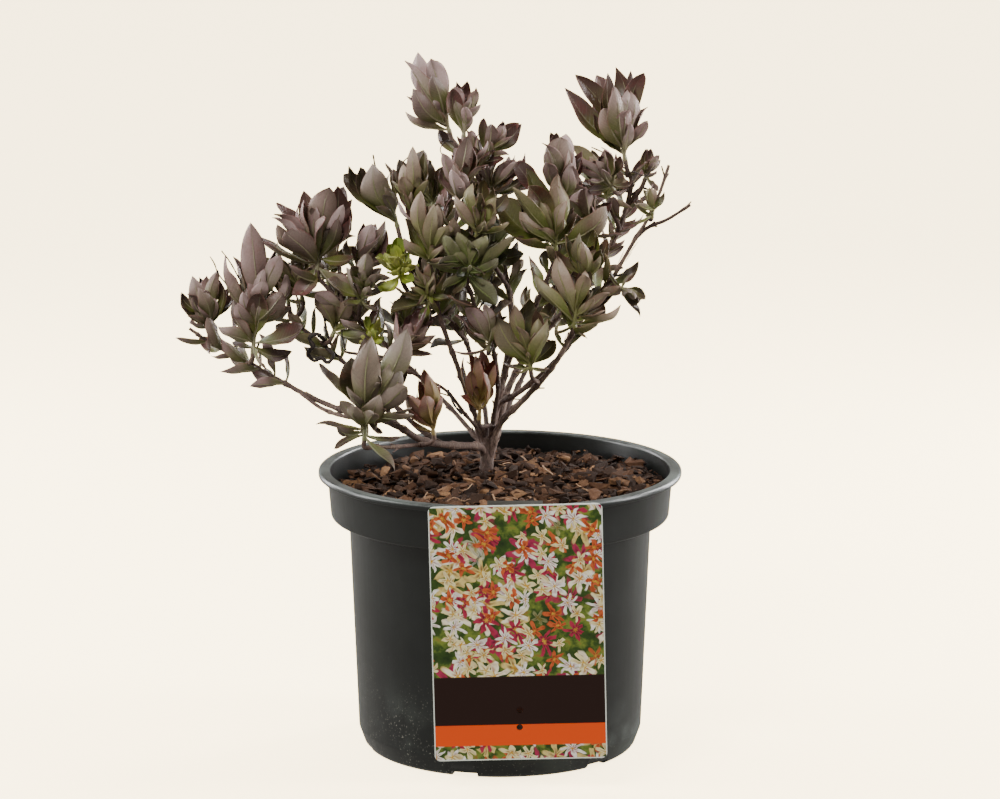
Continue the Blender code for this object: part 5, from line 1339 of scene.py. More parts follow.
@dataclass(frozen=True)
class Blade:
    """One leaf: its root, where it reaches, the way its upper face looks, and its width."""

    root: Vector
    tip: Vector
    face: Vector
    width: float

    def frame(self) -> tuple[Vector, Vector, Vector, float]:
        """The leaf's own directions.

        Returns:
            Ahead, up from its face and to its side, and its length.
        """
        ahead = self.tip - self.root
        length = ahead.length
        ahead = ahead.normalized()
        face = (self.face - ahead * self.face.dot(ahead)).normalized()
        return ahead, face, ahead.cross(face), length

    def bent(self, axis: Vector, tilt: float, turn: float, shorter: float) -> "Blade":
        """Bends the blade out of something's way.

        Args:
            axis: the axis of its shoot.
            tilt: radians that it swings in towards the axis.
            turn: radians that it goes round the axis.
            shorter: what is kept of its length.

        Returns:
            The bent blade.
        """
        ahead = self.tip - self.root
        hinge = ahead.cross(axis)
        hinge = hinge.normalized() if hinge.length > TINY else axis.orthogonal().normalized()
        move = Matrix.Rotation(turn, 3, axis) @ Matrix.Rotation(tilt, 3, hinge)
        return Blade(self.root, self.root + move @ ahead * shorter, move @ self.face, self.width * shorter)

    def outer(self, share: float) -> "Blade":
        """The blade without its root, which is where it may meet the other leaves of its shoot."""
        return Blade(self.root + (self.tip - self.root) * share, self.tip, self.face, self.width)

    def slab(self, grow: float = 0.0) -> Mesh:
        """Makes the plain folded blade of the CAD.

        Args:
            grow: how much longer, thicker and wider all round it is.

        Returns:
            Its points and faces.
        """
        ahead, face, side, own_length = self.frame()
        length = own_length + grow
        rows = LEAF_ROWS
        if own_length < SMALL_LEAF_LENGTH:
            rows = SMALL_LEAF_ROWS if own_length >= TINY_LEAF_LENGTH else TINY_LEAF_ROWS
        half = self.width / 2
        points = [self.root.copy()]
        for share, wide in rows:
            bow = LEAF_BOW * length * 4 * share * (1 - share)
            middle = self.root + ahead * length * share - face * bow
            reach = wide * half + grow
            lift = LEAF_FOLD * wide * half
            thick = LEAF_THICKNESS / 2 + grow
            points += [
                middle - side * reach + face * lift,
                middle + face * thick,
                middle + side * reach + face * lift,
                middle - face * thick,
            ]
        points.append(self.root + ahead * length)
        last = len(points) - 1
        faces = []
        for k in range(4):
            faces.append((0, 1 + (k + 1) % 4, 1 + k))
            faces.append((last, last - 4 + k, last - 4 + (k + 1) % 4))
        for low in range(1, last - 4, 4):
            for k in range(4):
                a, b = low + k, low + (k + 1) % 4
                faces += [(a, b, b + 4), (a, b + 4, a + 4)]
        return points, faces


class Layout:
    """Where every stem, twig and leaf of the plant lies, worked out as the CAD works it out."""

    def __init__(self) -> None:
        """Works out the routes and places the leaves."""
        self.routes = {name: smooth_route(in_metres(corners), RING_SPACING)
                       for name, (_, _, corners) in STEMS.items()}
        self.fixed = [tree_of(self.woody_tubes()), self.ground_tree()]
        self.soft_stems = {name: tree_of([self.soft_stem(shoot)]) for name, shoot in SHOOTS.items()}
        self.leaf_trees: dict[str, BVHTree] = {}
        self.pair_trees: list[BVHTree] = []
        self.blades: dict[str, list[Blade]] = {name: [] for name in SHOOTS}
        for name, shoot in SHOOTS.items():
            self.place(name, self.old_leaves(shoot, name) + self.young_leaves(shoot, name), False)
        for name, shoot in SHOOTS.items():
            self.place(name, self.inner_leaves(shoot, name), True)

    def twig_route(self, shoot: Shoot, steps: int | None = None) -> Route:
        """The short woody twig that carries a shoot, from inside its stem to the shoot's base.

        Args:
            shoot: the shoot it carries.
            steps: how many steps it takes, or as many as the CAD's.

        Returns:
            The points of its middle line.
        """
        root, ahead = along(self.routes[shoot.stem], shoot.at)
        end = shoot.foot - shoot.axis * GAP
        reach = (end - root).length
        if shoot.at >= 1.0:
            root = root - ahead * TWIG_OVERRUN
            reach += TWIG_OVERRUN
        pull = reach * TWIG_PULL
        steps = steps or (2 if reach < SHORT_TWIG else TWIG_STEPS)
        a, b = root + ahead * pull, end - shoot.axis * pull
        shares = [step / steps for step in range(steps + 1)]
        return [root * (1 - t) ** 3 + 3 * a * t * (1 - t) ** 2 + 3 * b * t * t * (1 - t) + end * t ** 3
                for t in shares]

    @staticmethod
    def knobbly_tube(points: Route, root: float, tip: float, sides: int, number: int) -> Mesh:
        """The CAD's tube for a stem, with a knuckle at every other ring.

        Args:
            points: its middle line.
            root: its radius at the root.
            tip: its radius at the tip.
            sides: how many sides it has.
            number: its place in its table, which turns it.

        Returns:
            Its points and faces.
        """
        last = len(points) - 1
        radii = [(root + (tip - root) * i / last) * (KNUCKLE if i % 2 and i < last else 1.0)
                 for i in range(last + 1)]
        return tube(points, radii, sides, TURN_STEP * number)

    def woody_tubes(self) -> list[Mesh]:
        """The CAD's tubes, which the leaves keep clear of.

        Returns:
            The trunk, the stems, the twigs and the dead twigs.
        """
        made = [tube(TRUNK, TRUNK_RADII, TRUNK_SIDES)]
        for number, (name, (root, tip, _)) in enumerate(STEMS.items()):
            made.append(self.knobbly_tube(self.routes[name], root * MM / 2, tip * MM / 2, STEM_SIDES, number))
        for number, shoot in enumerate(SHOOTS.values()):
            points = self.twig_route(shoot)
            radii = [TWIG_RADIUS * (TWIG_KNUCKLE if i in (0, 2) else 1.0) for i in range(len(points))]
            made.append(tube(points, radii, TWIG_SIDES, TURN_STEP * number, shoot.axis))
        for number, (thickness, corners) in enumerate(DEAD_TWIGS):
            points = smooth_route(in_metres(corners), DEAD_RING_SPACING)
            radius = thickness * MM / 2
            made.append(self.knobbly_tube(points, radius, radius * DEAD_TIP_SHARE, TWIG_SIDES, number))
        return made

    @staticmethod
    def soft_stem(shoot: Shoot) -> Mesh:
        """The CAD's soft stem of a shoot."""
        points = [shoot.foot + shoot.reach * share for share in (0.0, 0.5, SHOOT_OVERRUN)]
        return tube(points, (SHOOT_RADIUS, SHOOT_RADIUS * 0.9, SHOOT_TIP_RADIUS), SHOOT_SIDES)

    @staticmethod
    def ground_tree() -> BVHTree:
        """The soil's top and the pot's rim and collar, as leaves meet them.

        Returns:
            Their search tree.
        """
        inside, outside = Pot.outline()
        section = inside[4:] + outside[:8]
        rows = len(section)
        points = [
            Vector((radius * math.cos(a), radius * math.sin(a), height))
            for a in [2 * math.pi * i / POT_SIDES for i in range(POT_SIDES)]
            for radius, height in section
        ]
        faces = []
        for i in range(POT_SIDES):
            here, beside = i * rows, (i + 1) % POT_SIDES * rows
            faces += [(here + k, beside + k, beside + k + 1, here + k + 1) for k in range(rows - 1)]
        square = [Vector((x * RIM_RADIUS, y * RIM_RADIUS, SOIL_LEVEL + SOIL_RELIEF))
                  for x, y in ((-1, -1), (1, -1), (1, 1), (-1, 1))]
        return tree_of([(points, faces), (square, [(0, 1, 2, 3)])])

    @staticmethod
    def facing(axis: Vector, heading: Vector, backward: bool, draw: random.Random) -> Vector:
        """Draws the way a leaf's upper face looks: in to its shoot's axis and up to the sky.

        Args:
            axis: the shoot's axis.
            heading: the leaf's heading.
            backward: whether it reaches to the back of the plant.
            draw: the shoot's draws.

        Returns:
            That way.
        """
        inward = axis * FACE_TO_SKY - heading
        inward.y -= FACE_TWIST if backward or draw.random() < FACE_TWIST_SWAP else -FACE_TWIST
        return inward + Vector([draw.uniform(-FACE_WOBBLE, FACE_WOBBLE) for _ in range(3)])

    def old_leaves(self, shoot: Shoot, name: str) -> list[Blade]:
        """Lays out the shoot's listed leaves.

        Args:
            shoot: the shoot.
            name: its name, which seeds the draws.

        Returns:
            Their blades, not yet bent clear of anything.
        """
        draw = random.Random(name)
        base, rise = shoot.foot, shoot.reach
        axis = rise.normalized()
        blades = []
        for height, x, y, z, wide in shoot.leaves:
            tip = base + Vector((x, y, z)) * MM
            root = base + rise * (LOWEST_LEAF + (1 - LOWEST_LEAF) * height)
            root += (tip - root).cross(axis).cross(-axis).normalized() * SHOOT_RADIUS * ROOT_OFFSET
            ahead = tip - root
            face = self.facing(axis, ahead.normalized(), y > 0, draw)
            blades.append(Blade(root, tip, face, ahead.length * min(WIDEST_LEAF, wide * LEAF_BREADTH)))
        return blades

    @staticmethod
    def young_leaves(shoot: Shoot, name: str) -> list[Blade]:
        """Lays out the small pair that closes the shoot's tip.

        Args:
            shoot: the shoot.
            name: its name, which seeds the draws.

        Returns:
            The two blades.
        """
        draw = random.Random(name + "_young")
        root = shoot.foot + shoot.reach * YOUNG_HEIGHT
        axis = shoot.reach.normalized()
        side = axis.orthogonal().normalized()
        blades = []
        start = draw.uniform(0.0, math.pi)
        for half_turn in (0.0, math.pi):
            out = Matrix.Rotation(start + half_turn, 3, axis) @ side
            spread = YOUNG_SPREAD + draw.uniform(-YOUNG_SPREAD_WOBBLE, YOUNG_SPREAD_WOBBLE)
            ahead = axis * math.cos(spread) + out * math.sin(spread)
            length = YOUNG_LENGTH * draw.uniform(0.8, 1.1)
            blades.append(Blade(root, root + ahead * length, -out, length * YOUNG_WIDTH))
        return blades

    def inner_leaves(self, shoot: Shoot, name: str) -> list[Blade]:
        """Lays out the smaller leaves between a shoot's listed ones, which only the scene has.

        Args:
            shoot: the shoot.
            name: its name, which seeds the draws.

        Returns:
            Their blades, not yet bent clear of anything.
        """
        draw = random.Random(name + "_inner")
        base, rise = shoot.foot, shoot.reach
        axis = rise.normalized()
        blades = []
        for _ in range(round(len(shoot.leaves) * INNER_LEAVES)):
            first, second = (Vector(leaf[1:4]) for leaf in draw.sample(shoot.leaves, 2))
            t = draw.uniform(0.25, 0.75)
            reach = first * (1 - t) * MM + second * t * MM
            long = (first.length * (1 - t) + second.length * t) * MM
            root = base + rise * draw.uniform(0.25, 1.0)
            heading = (reach.normalized() + axis * draw.uniform(0.0, 0.5)
                       + Vector([draw.uniform(-0.3, 0.3) for _ in range(3)])).normalized()
            ahead = heading * long * draw.uniform(0.50, 1.0)
            root += ahead.cross(axis).cross(-axis).normalized() * SHOOT_RADIUS * ROOT_OFFSET
            face = self.facing(axis, heading, heading.y > 0, draw)
            blades.append(Blade(root, root + ahead, face, ahead.length * draw.uniform(*INNER_WIDTHS)))
        return blades

    @staticmethod
    def settled(blade: Blade, axis: Vector, taken: list[BVHTree], siblings: list[BVHTree],
                root_share: float, strict: bool) -> Blade | None:
        """Bends a blade clear of what is in its way.

        Args:
            blade: the blade as listed.
            axis: its shoot's axis.
            taken: what it has to clear.
            siblings: its neighbours, which it clears beyond its root where one of the tries does.
            root_share: how much of its length its root is.
            strict: whether a blade that meets its neighbours in every try is left out.

        Returns:
            The first try that fits, or None.
        """
        fallback = None
        for tilt, turn, shorter in TRIES:
            trial = blade.bent(axis, math.radians(tilt), math.radians(turn), shorter)
            shape = tree_of([trial.slab(LEAF_CLEARANCE)])
            if any(shape.overlap(tree) for tree in taken):
                continue
            fallback = fallback or trial
            outer = tree_of([trial.outer(root_share).slab()])
            if not any(outer.overlap(tree) for tree in siblings):
                return trial
        return None if strict else fallback

    def place(self, name: str, blades: list[Blade], inner: bool) -> None:
        """Adds leaves to a shoot, each clear of the stems, the pot and the other shoots.

        Args:
            name: the shoot.
            blades: its leaves as listed.
            inner: whether they are the scene's own, which give way to the others.
        """
        share = INNER_ROOT_SHARE if inner else ROOT_SHARE
        placed = self.blades[name]
        others = (*self.soft_stems.items(), *self.leaf_trees.items())
        taken = self.fixed + [tree for other, tree in others if other != name]
        for blade in blades:
            siblings = [tree_of([other.outer(share).slab() for other in placed])] if placed else []
            found = self.settled(blade, SHOOTS[name].axis, taken, siblings, share, inner)
            if found:
                placed.append(found)
        self.leaf_trees[name] = tree_of([blade.slab() for blade in placed])

    def stem_leaves(self, stem: str, low: float, high: float) -> list[Blade]:
        """Opposite pairs of leaves along a woody stem, which only the scene has.

        Args:
            stem: the stem's name.
            low: the share of its length where the first pair may stand.
            high: the share where the last may stand.

        Returns:
            The blades that fit, clear of all that is already there.
        """
        draw = random.Random("pairs_" + stem)
        route = self.routes[stem]
        trees = [*self.fixed, *self.soft_stems.values(), *self.leaf_trees.values(), *self.pair_trees]
        placed: list[Blade] = []
        at = low
        turn = 0.0
        while at < high:
            point, ahead = along(route, at)
            side = Matrix.Rotation(turn, 3, ahead) @ ahead.orthogonal().normalized()
            for out in (side, -side):
                heading = (ahead * draw.uniform(*PAIR_LEAN) + out + PAIR_LIFT).normalized()
                reach = heading * draw.uniform(*PAIR_LENGTHS)
                width = reach.length * draw.uniform(*PAIR_WIDTHS)
                blade = Blade(point, point + reach, ahead - heading * PAIR_FACE, width)
                beside = trees + [tree_of([other.slab() for other in placed])]
                found = self.settled(blade, ahead, [], beside, PAIR_ROOT_SHARE, True)
                if found:
                    placed.append(found)
            turn += math.pi / 2 + draw.uniform(-PAIR_TURN, PAIR_TURN)
            at += PAIR_SPACING * draw.uniform(0.7, 1.3) / length_of(route)
        self.pair_trees.append(tree_of([blade.slab() for blade in placed]))
        return placed


@dataclass
class Pot:
    """The moulded pot: a thin wall with a stepped collar, a rolled lip, drain holes and foot notches."""

    sides: int = 160
    corner_radius: float = 0.0009
    corner_share: float = 0.35
    corner_steps: int = 3
    drain_sides: int = 32

    @staticmethod
    def outline() -> tuple[list[tuple[float, float]], list[tuple[float, float]]]:
        """The CAD's section, as (distance from the axis, height).

        Returns:
            The inside, up from the middle of the floor, and the outside, down from the lip.
        """
        collar_foot = POT_HEIGHT - COLLAR_HEIGHT
        step = BODY_TOP_RADIUS - WALL
        inside = [
            (0.0, FLOOR_TOP),
            (FOOT_RADIUS, FLOOR_TOP),
            (BODY_FOOT_RADIUS - WALL, FOOT_CURVE_HEIGHT),
            (step, collar_foot - 0.0030),
            (step + 0.0006, collar_foot),
            (COLLAR_FOOT_RADIUS - WALL - 0.0006, collar_foot + 0.0010),
            (COLLAR_FOOT_RADIUS - WALL, collar_foot + 0.0025),
            (COLLAR_TOP_RADIUS - WALL, POT_HEIGHT - 0.0008),
        ]
        outside = [
            (COLLAR_TOP_RADIUS - WALL + 0.0007, POT_HEIGHT),
            (RIM_RADIUS - 0.0010, POT_HEIGHT),
            (RIM_RADIUS, POT_HEIGHT - 0.0009),
            (RIM_RADIUS, POT_HEIGHT - LIP_HEIGHT + 0.0006),
            (RIM_RADIUS - 0.0007, POT_HEIGHT - LIP_HEIGHT),
            (COLLAR_TOP_RADIUS, POT_HEIGHT - LIP_HEIGHT),
            (COLLAR_FOOT_RADIUS, collar_foot + 0.0010),
            (COLLAR_FOOT_RADIUS - 0.0010, collar_foot),
            (BODY_TOP_RADIUS, collar_foot - 0.0018),
            (BODY_FOOT_RADIUS, FOOT_CURVE_HEIGHT),
            (FOOT_RADIUS + 0.0014, 0.0016),
            (FOOT_RADIUS - 0.0004, 0.0),
            (FOOT_RING_INNER_RADIUS, 0.0),
            (FOOT_RING_INNER_RADIUS - 0.0008, FLOOR_UNDERSIDE),
            (FOOT_BOSS_RADIUS, FLOOR_UNDERSIDE),
            (FOOT_BOSS_RADIUS, 0.0),
            (0.0, 0.0),
        ]
        return inside, outside

    def rounded(self, outline: Sequence[tuple[float, float]]) -> list[tuple[float, float]]:
        """Turns each corner of an outline into a short arc.

        Args:
            outline: corners as (distance from the axis, height).

        Returns:
            The rounded outline, with its two ends kept.
        """
        made = [outline[0]]
        for before, here, after in zip(outline, outline[1:], outline[2:]):
            corner = Vector(here)
            back, on = Vector(before) - corner, Vector(after) - corner
            start = corner + back.normalized() * min(self.corner_radius, back.length * self.corner_share)
            end = corner + on.normalized() * min(self.corner_radius, on.length * self.corner_share)
            for step in range(self.corner_steps + 1):
                t = step / self.corner_steps
                made.append(tuple(start * (1 - t) ** 2 + corner * 2 * t * (1 - t) + end * t * t))
        made.append(outline[-1])
        return made

    def drills(self) -> bmesh.types.BMesh:
        """Makes what is cut out of the pot.

        Returns:
            The drain holes in the floor and the notches in the foot ring.
        """
        shape = bmesh.new()
        for i in range(DRAIN_COUNT):
            angle = 2 * math.pi * (i + 0.5) / DRAIN_COUNT
            place = Vector((math.cos(angle), math.sin(angle), 0.0)) * DRAIN_CIRCLE
            place.z = FLOOR_TOP
            bmesh.ops.create_cone(
                shape, cap_ends=True, segments=self.drain_sides, radius1=DRAIN_RADIUS, radius2=DRAIN_RADIUS,
                depth=4 * (FLOOR_TOP - FLOOR_UNDERSIDE), matrix=Matrix.Translation(place))
        for i in range(NOTCH_COUNT):
            angle = 2 * math.pi * (i + NOTCH_START) / NOTCH_COUNT
            size = Matrix.Diagonal((NOTCH_DEPTH, NOTCH_WIDTH, 2 * NOTCH_HEIGHT, 1.0))
            place = Matrix.Translation((FOOT_RADIUS - CUTTER_OVERRUN, 0.0, 0.0))
            bmesh.ops.create_cube(shape, size=1.0, matrix=Matrix.Rotation(angle, 4, "Z") @ place @ size)
        return shape

    def build(self) -> None:
        """Turns the rounded section, and cuts the holes and notches."""
        inside, outside = self.outline()
        section = self.rounded(inside + outside)
        points = [Vector((0.0, 0.0, section[0][1]))]
        for radius, height in section[1:-1]:
            points += [Vector((x, y, height)) for x, y in circle(radius, self.sides)]
        points.append(Vector((0.0, 0.0, section[-1][1])))
        draft = Draft("pot_shell")
        draft.add((points, turned_faces(len(section) - 2, self.sides)))
        shell = draft.build(PotFinish().make())
        cut(shell, self.drills())
        settle(shell, "pot_plastic", "pot")


@dataclass
class Mulch:
    """The root ball, topped with loose bark chips, a few straws and pale roots."""

    sides: int = 120
    rings: int = 34
    sunk: float = 0.0028
    crumb_size: float = 0.004
    crumb_height: float = 0.0016
    chips: int = 3000
    chip_corners: int = 11
    shortest_chip: float = 0.0021
    longest_more: float = 0.0118
    trunk_clearance: float = 0.006
    roots: int = 16
    root_step: float = 0.0045
    edge: float = COLLAR_FOOT_RADIUS - WALL
    seed: int = 11

    @staticmethod
    def level(x: float, y: float) -> float:
        """The CAD's soil surface.

        Args:
            x: a place in X.
            y: a place in Y.

        Returns:
            Its height there, with the mound at the crown and the uneven lumps.
        """
        from_crown = math.hypot(x - CROWN.x, y - CROWN.y)
        mound = SOIL_MOUND * math.exp(-((from_crown / SOIL_MOUND_SPREAD) ** 2))
        tilt = SOIL_TILT * (x - CROWN.x)
        lump = noise.noise(Vector((x, y, 0.0)) / SOIL_GRAIN)
        return SOIL_LEVEL + mound + tilt + SOIL_RELIEF * lump

    def bed(self, finish: bpy.types.Material) -> None:
        """Makes the root ball with its crumbly top.

        Args:
            finish: its material.
        """
        inside, _ = Pot.outline()
        points = [Vector((0.0, 0.0, FLOOR_TOP + GAP))]
        # The bed's marks give it strong painted shade, since it lies under the chips.
        marks = [(0.5, 0.6, 0.0)]
        for radius, height in inside[1:-1]:
            points += [Vector((x, y, height + GAP)) for x, y in circle(radius - GAP, self.sides)]
            marks += [(0.4, 0.5, 0.0)] * self.sides
        for ring in range(self.rings):
            for x, y in circle(self.edge * (1.0 - ring / self.rings), self.sides):
                crumb = noise.turbulence(Vector((x, y, 0.3)) / self.crumb_size, 3, False) * self.crumb_height
                points.append(Vector((x, y, self.level(x, y) - self.sunk + crumb)))
        points.append(Vector((0.0, 0.0, self.level(0.0, 0.0) - 0.002)))
        marks += [(0.35, 0.55, 0.0)] * (len(points) - len(marks))
        draft = Draft("soil_bed", ("chip_mark",))
        faces = flipped(turned_faces((len(points) - 2) // self.sides, self.sides))
        draft.add((points, faces), chip_mark=marks)
        settle(draft.build(finish), "soil_bark", "soil")

    def chip(self, draw: random.Random) -> Mesh | None:
        """Makes one angular chip of bark that lies on the bed.

        Args:
            draw: the draws.

        Returns:
            Its points and faces, or None where it would meet the wall or the trunk.
        """
        reach = self.edge * math.sqrt(draw.random())
        a = draw.uniform(0.0, 2 * math.pi)
        x, y = reach * math.cos(a), reach * math.sin(a)
        long = self.shortest_chip + self.longest_more * draw.random() ** 2.2
        wide = long * draw.uniform(0.35, 0.75)
        thick = long * draw.uniform(0.18, 0.42)
        from_trunk = math.hypot(x - CROWN.x, y - CROWN.y)
        if reach + long * 0.55 > self.edge or from_trunk < self.trunk_clearance:
            return None
        shape = bmesh.new()
        for _ in range(self.chip_corners):
            corner = Vector([draw.uniform(-0.5, 0.5) for _ in range(3)])
            corner = corner / max(abs(part) for part in corner) * 0.5 * draw.uniform(0.75, 1.0)
            shape.verts.new((corner.x * long, corner.y * wide, corner.z * thick))
        hull = bmesh.ops.convex_hull(shape, input=list(shape.verts))["geom"]
        used = {vert for face in hull if isinstance(face, bmesh.types.BMFace) for vert in face.verts}
        bmesh.ops.delete(shape, geom=[vert for vert in shape.verts if vert not in used], context="VERTS")
        lift = self.level(x, y) - 0.0010 + draw.uniform(-0.0006, 0.0016) + 0.15 * thick
        turn = Matrix.Rotation(draw.uniform(0, 2 * math.pi), 4, "Z")
        tilt = Matrix.Rotation(draw.gauss(0, 0.38), 4, "X") @ Matrix.Rotation(draw.gauss(0, 0.28), 4, "Y")
        shape.transform(Matrix.Translation((x, y, lift)) @ turn @ tilt)
        shape.verts.index_update()
        points = [vert.co.copy() for vert in shape.verts]
        faces = [tuple(vert.index for vert in face.verts) for face in shape.faces]
        shape.free()
        return points, faces

    def fibres(self, draw: random.Random) -> None:
        """Lays pale straws and roots over the chips.

        Args:
            draw: the draws, after the chips'.
        """
        draft = Draft("pale_roots")
        for _ in range(self.roots):
            reach = self.edge * 0.72 * math.sqrt(draw.random())
            a = draw.uniform(0.0, 2 * math.pi)
            x, y = reach * math.cos(a), reach * math.sin(a)
            heading = draw.uniform(0.0, 2 * math.pi)
            corners = []
            for _ in range(4):
                corners.append(Vector((x, y, self.level(x, y) + draw.uniform(0.0008, 0.0036))))
                heading += draw.uniform(-0.7, 0.7)
                x += self.root_step * math.cos(heading)
                y += self.root_step * math.sin(heading)
            route = smooth_route(corners, 0.001)
            radius = draw.uniform(0.00022, 0.00050)
            radii = [radius * (1.0 - 0.6 * i / len(route)) for i in range(len(route))]
            draft.add(tube(route, radii, 6))
        settle(draft.build(RootFinish().make()), "soil_bark")

    def build(self) -> None:
        """Makes the bed, the chips and the roots."""
        finish = MulchFinish().make()
        self.bed(finish)
        draw = random.Random(self.seed)
        draft = Draft("bark_chips", ("chip_mark",))
        for _ in range(self.chips):
            chip = self.chip(draw)
            tint = draw.random()
            if chip:
                # The chip's second mark is painted shade, drawn at random.
                draft.add(chip, chip_mark=(tint, draw.uniform(0.0, 0.35), 0.0))
        settle(draft.build(finish, None), "soil_bark")
        self.fibres(draw)


@dataclass
class PictureLabel:
    """The printed card on the pot's front, hung by a tongue over the rim, with two punched holes."""

    columns: int = 30
    rows: int = 44
    corner_rows: int = 5
    curl: float = 0.0011
    front: float = -RIM_RADIUS - GAP - LABEL_THICKNESS
    hole_sides: int = 28

    @staticmethod
    def half_width(up: float) -> float:
        """Half the card's width at a height, less its rounded corners.

        Args:
            up: the height above the card's foot.

        Returns:
            The distance from its middle to its edge.
        """
        from_end = min(up, LABEL_HEIGHT - up)
        if from_end >= LABEL_CORNER:
            return LABEL_WIDTH / 2
        inset = LABEL_CORNER - math.sqrt(max(0.0, LABEL_CORNER ** 2 - (LABEL_CORNER - from_end) ** 2))
        return LABEL_WIDTH / 2 - inset

    def card(self) -> Mesh:
        """Makes the card as a thin closed sheet, its free corners standing a little off the pot.

        Returns:
            Its points and faces.
        """
        turns = [math.pi * 0.5 * i / self.corner_rows for i in range(self.corner_rows)]
        heights = [LABEL_CORNER * (1 - math.cos(turn)) for turn in turns]
        straight = LABEL_HEIGHT - 2 * LABEL_CORNER
        ups = heights + [LABEL_CORNER + straight * i / self.rows for i in range(self.rows + 1)]
        ups += [LABEL_HEIGHT - height for height in reversed(heights)]
        place = (Matrix.Translation((LABEL_CENTRE_X, self.front, LABEL_TOP))
                 @ Matrix.Rotation(-LABEL_LEAN, 4, "Y")
                 @ Matrix.Translation((0.0, 0.0, -LABEL_HEIGHT)))
        points = []
        for depth in (0.0, LABEL_THICKNESS * 0.75):
            for up in ups:
                for column in range(self.columns + 1):
                    x = self.half_width(up) * (2 * column / self.columns - 1)
                    droop = (1 - up / LABEL_HEIGHT) ** 2
                    wave = math.sin(5.0 * up / LABEL_HEIGHT + 3.0 * x / LABEL_WIDTH)
                    y = self.curl * droop * (0.5 * wave + 2.0 * (x / LABEL_WIDTH) ** 2)
                    points.append(place @ Vector((x, depth - y * 0.5, up)))
        return points, flipped(sheet_faces(len(ups) - 1, self.columns))

    def tongue(self) -> Mesh:
        """Makes the strip that goes over the rim and down inside the wall.

        Returns:
            Its points and faces.
        """
        over = POT_HEIGHT + GAP
        top = over + LABEL_THICKNESS
        outer, inner = self.front + TONGUE_INSET, self.front + LABEL_THICKNESS - TONGUE_INSET
        end = LABEL_TOP - TONGUE_DEPTH
        section = [
            (outer, over - TONGUE_ROOT), (inner, over - TONGUE_ROOT), (inner, over), (TONGUE_INNER_Y, over),
            (TONGUE_INNER_Y, end), (TONGUE_INNER_Y + LABEL_THICKNESS, end),
            (TONGUE_INNER_Y + LABEL_THICKNESS, top), (outer, top),
        ]
        size = len(section)
        sides = [LABEL_CENTRE_X + side * TONGUE_WIDTH / 2 for side in (-1, 1)]
        points = [Vector((x, y, z)) for x in sides for y, z in section]
        faces = [tuple(reversed(range(size))), tuple(range(size, 2 * size))]
        faces += [(i, (i + 1) % size, (i + 1) % size + size, i + size) for i in range(size)]
        return points, faces

    def build(self) -> None:
        """Makes the card with its tongue, and punches the two holes."""
        foot = LABEL_TOP - LABEL_HEIGHT
        finish = PrintFinish(LABEL_CENTRE_X, foot, LABEL_WIDTH, LABEL_HEIGHT, LABEL_LEAN).make()
        draft = Draft("picture_card")
        draft.add(self.card())
        card = draft.build(finish, 50.0)
        shape = bmesh.new()
        for across, up in LABEL_HOLES:
            place = Matrix.Translation((LABEL_CENTRE_X + across, -RIM_RADIUS, foot + up))
            bmesh.ops.create_cone(
                shape, cap_ends=True, segments=self.hole_sides, radius1=LABEL_HOLE_RADIUS,
                radius2=LABEL_HOLE_RADIUS, depth=0.01, matrix=place @ Matrix.Rotation(math.pi / 2, 4, "X"))
        cut(card, shape)
        settle(card, "label_card", "label")
        hook = Draft("card_tongue")
        hook.add(self.tongue())
        settle(hook.build(finish, 30.0), "label_card")


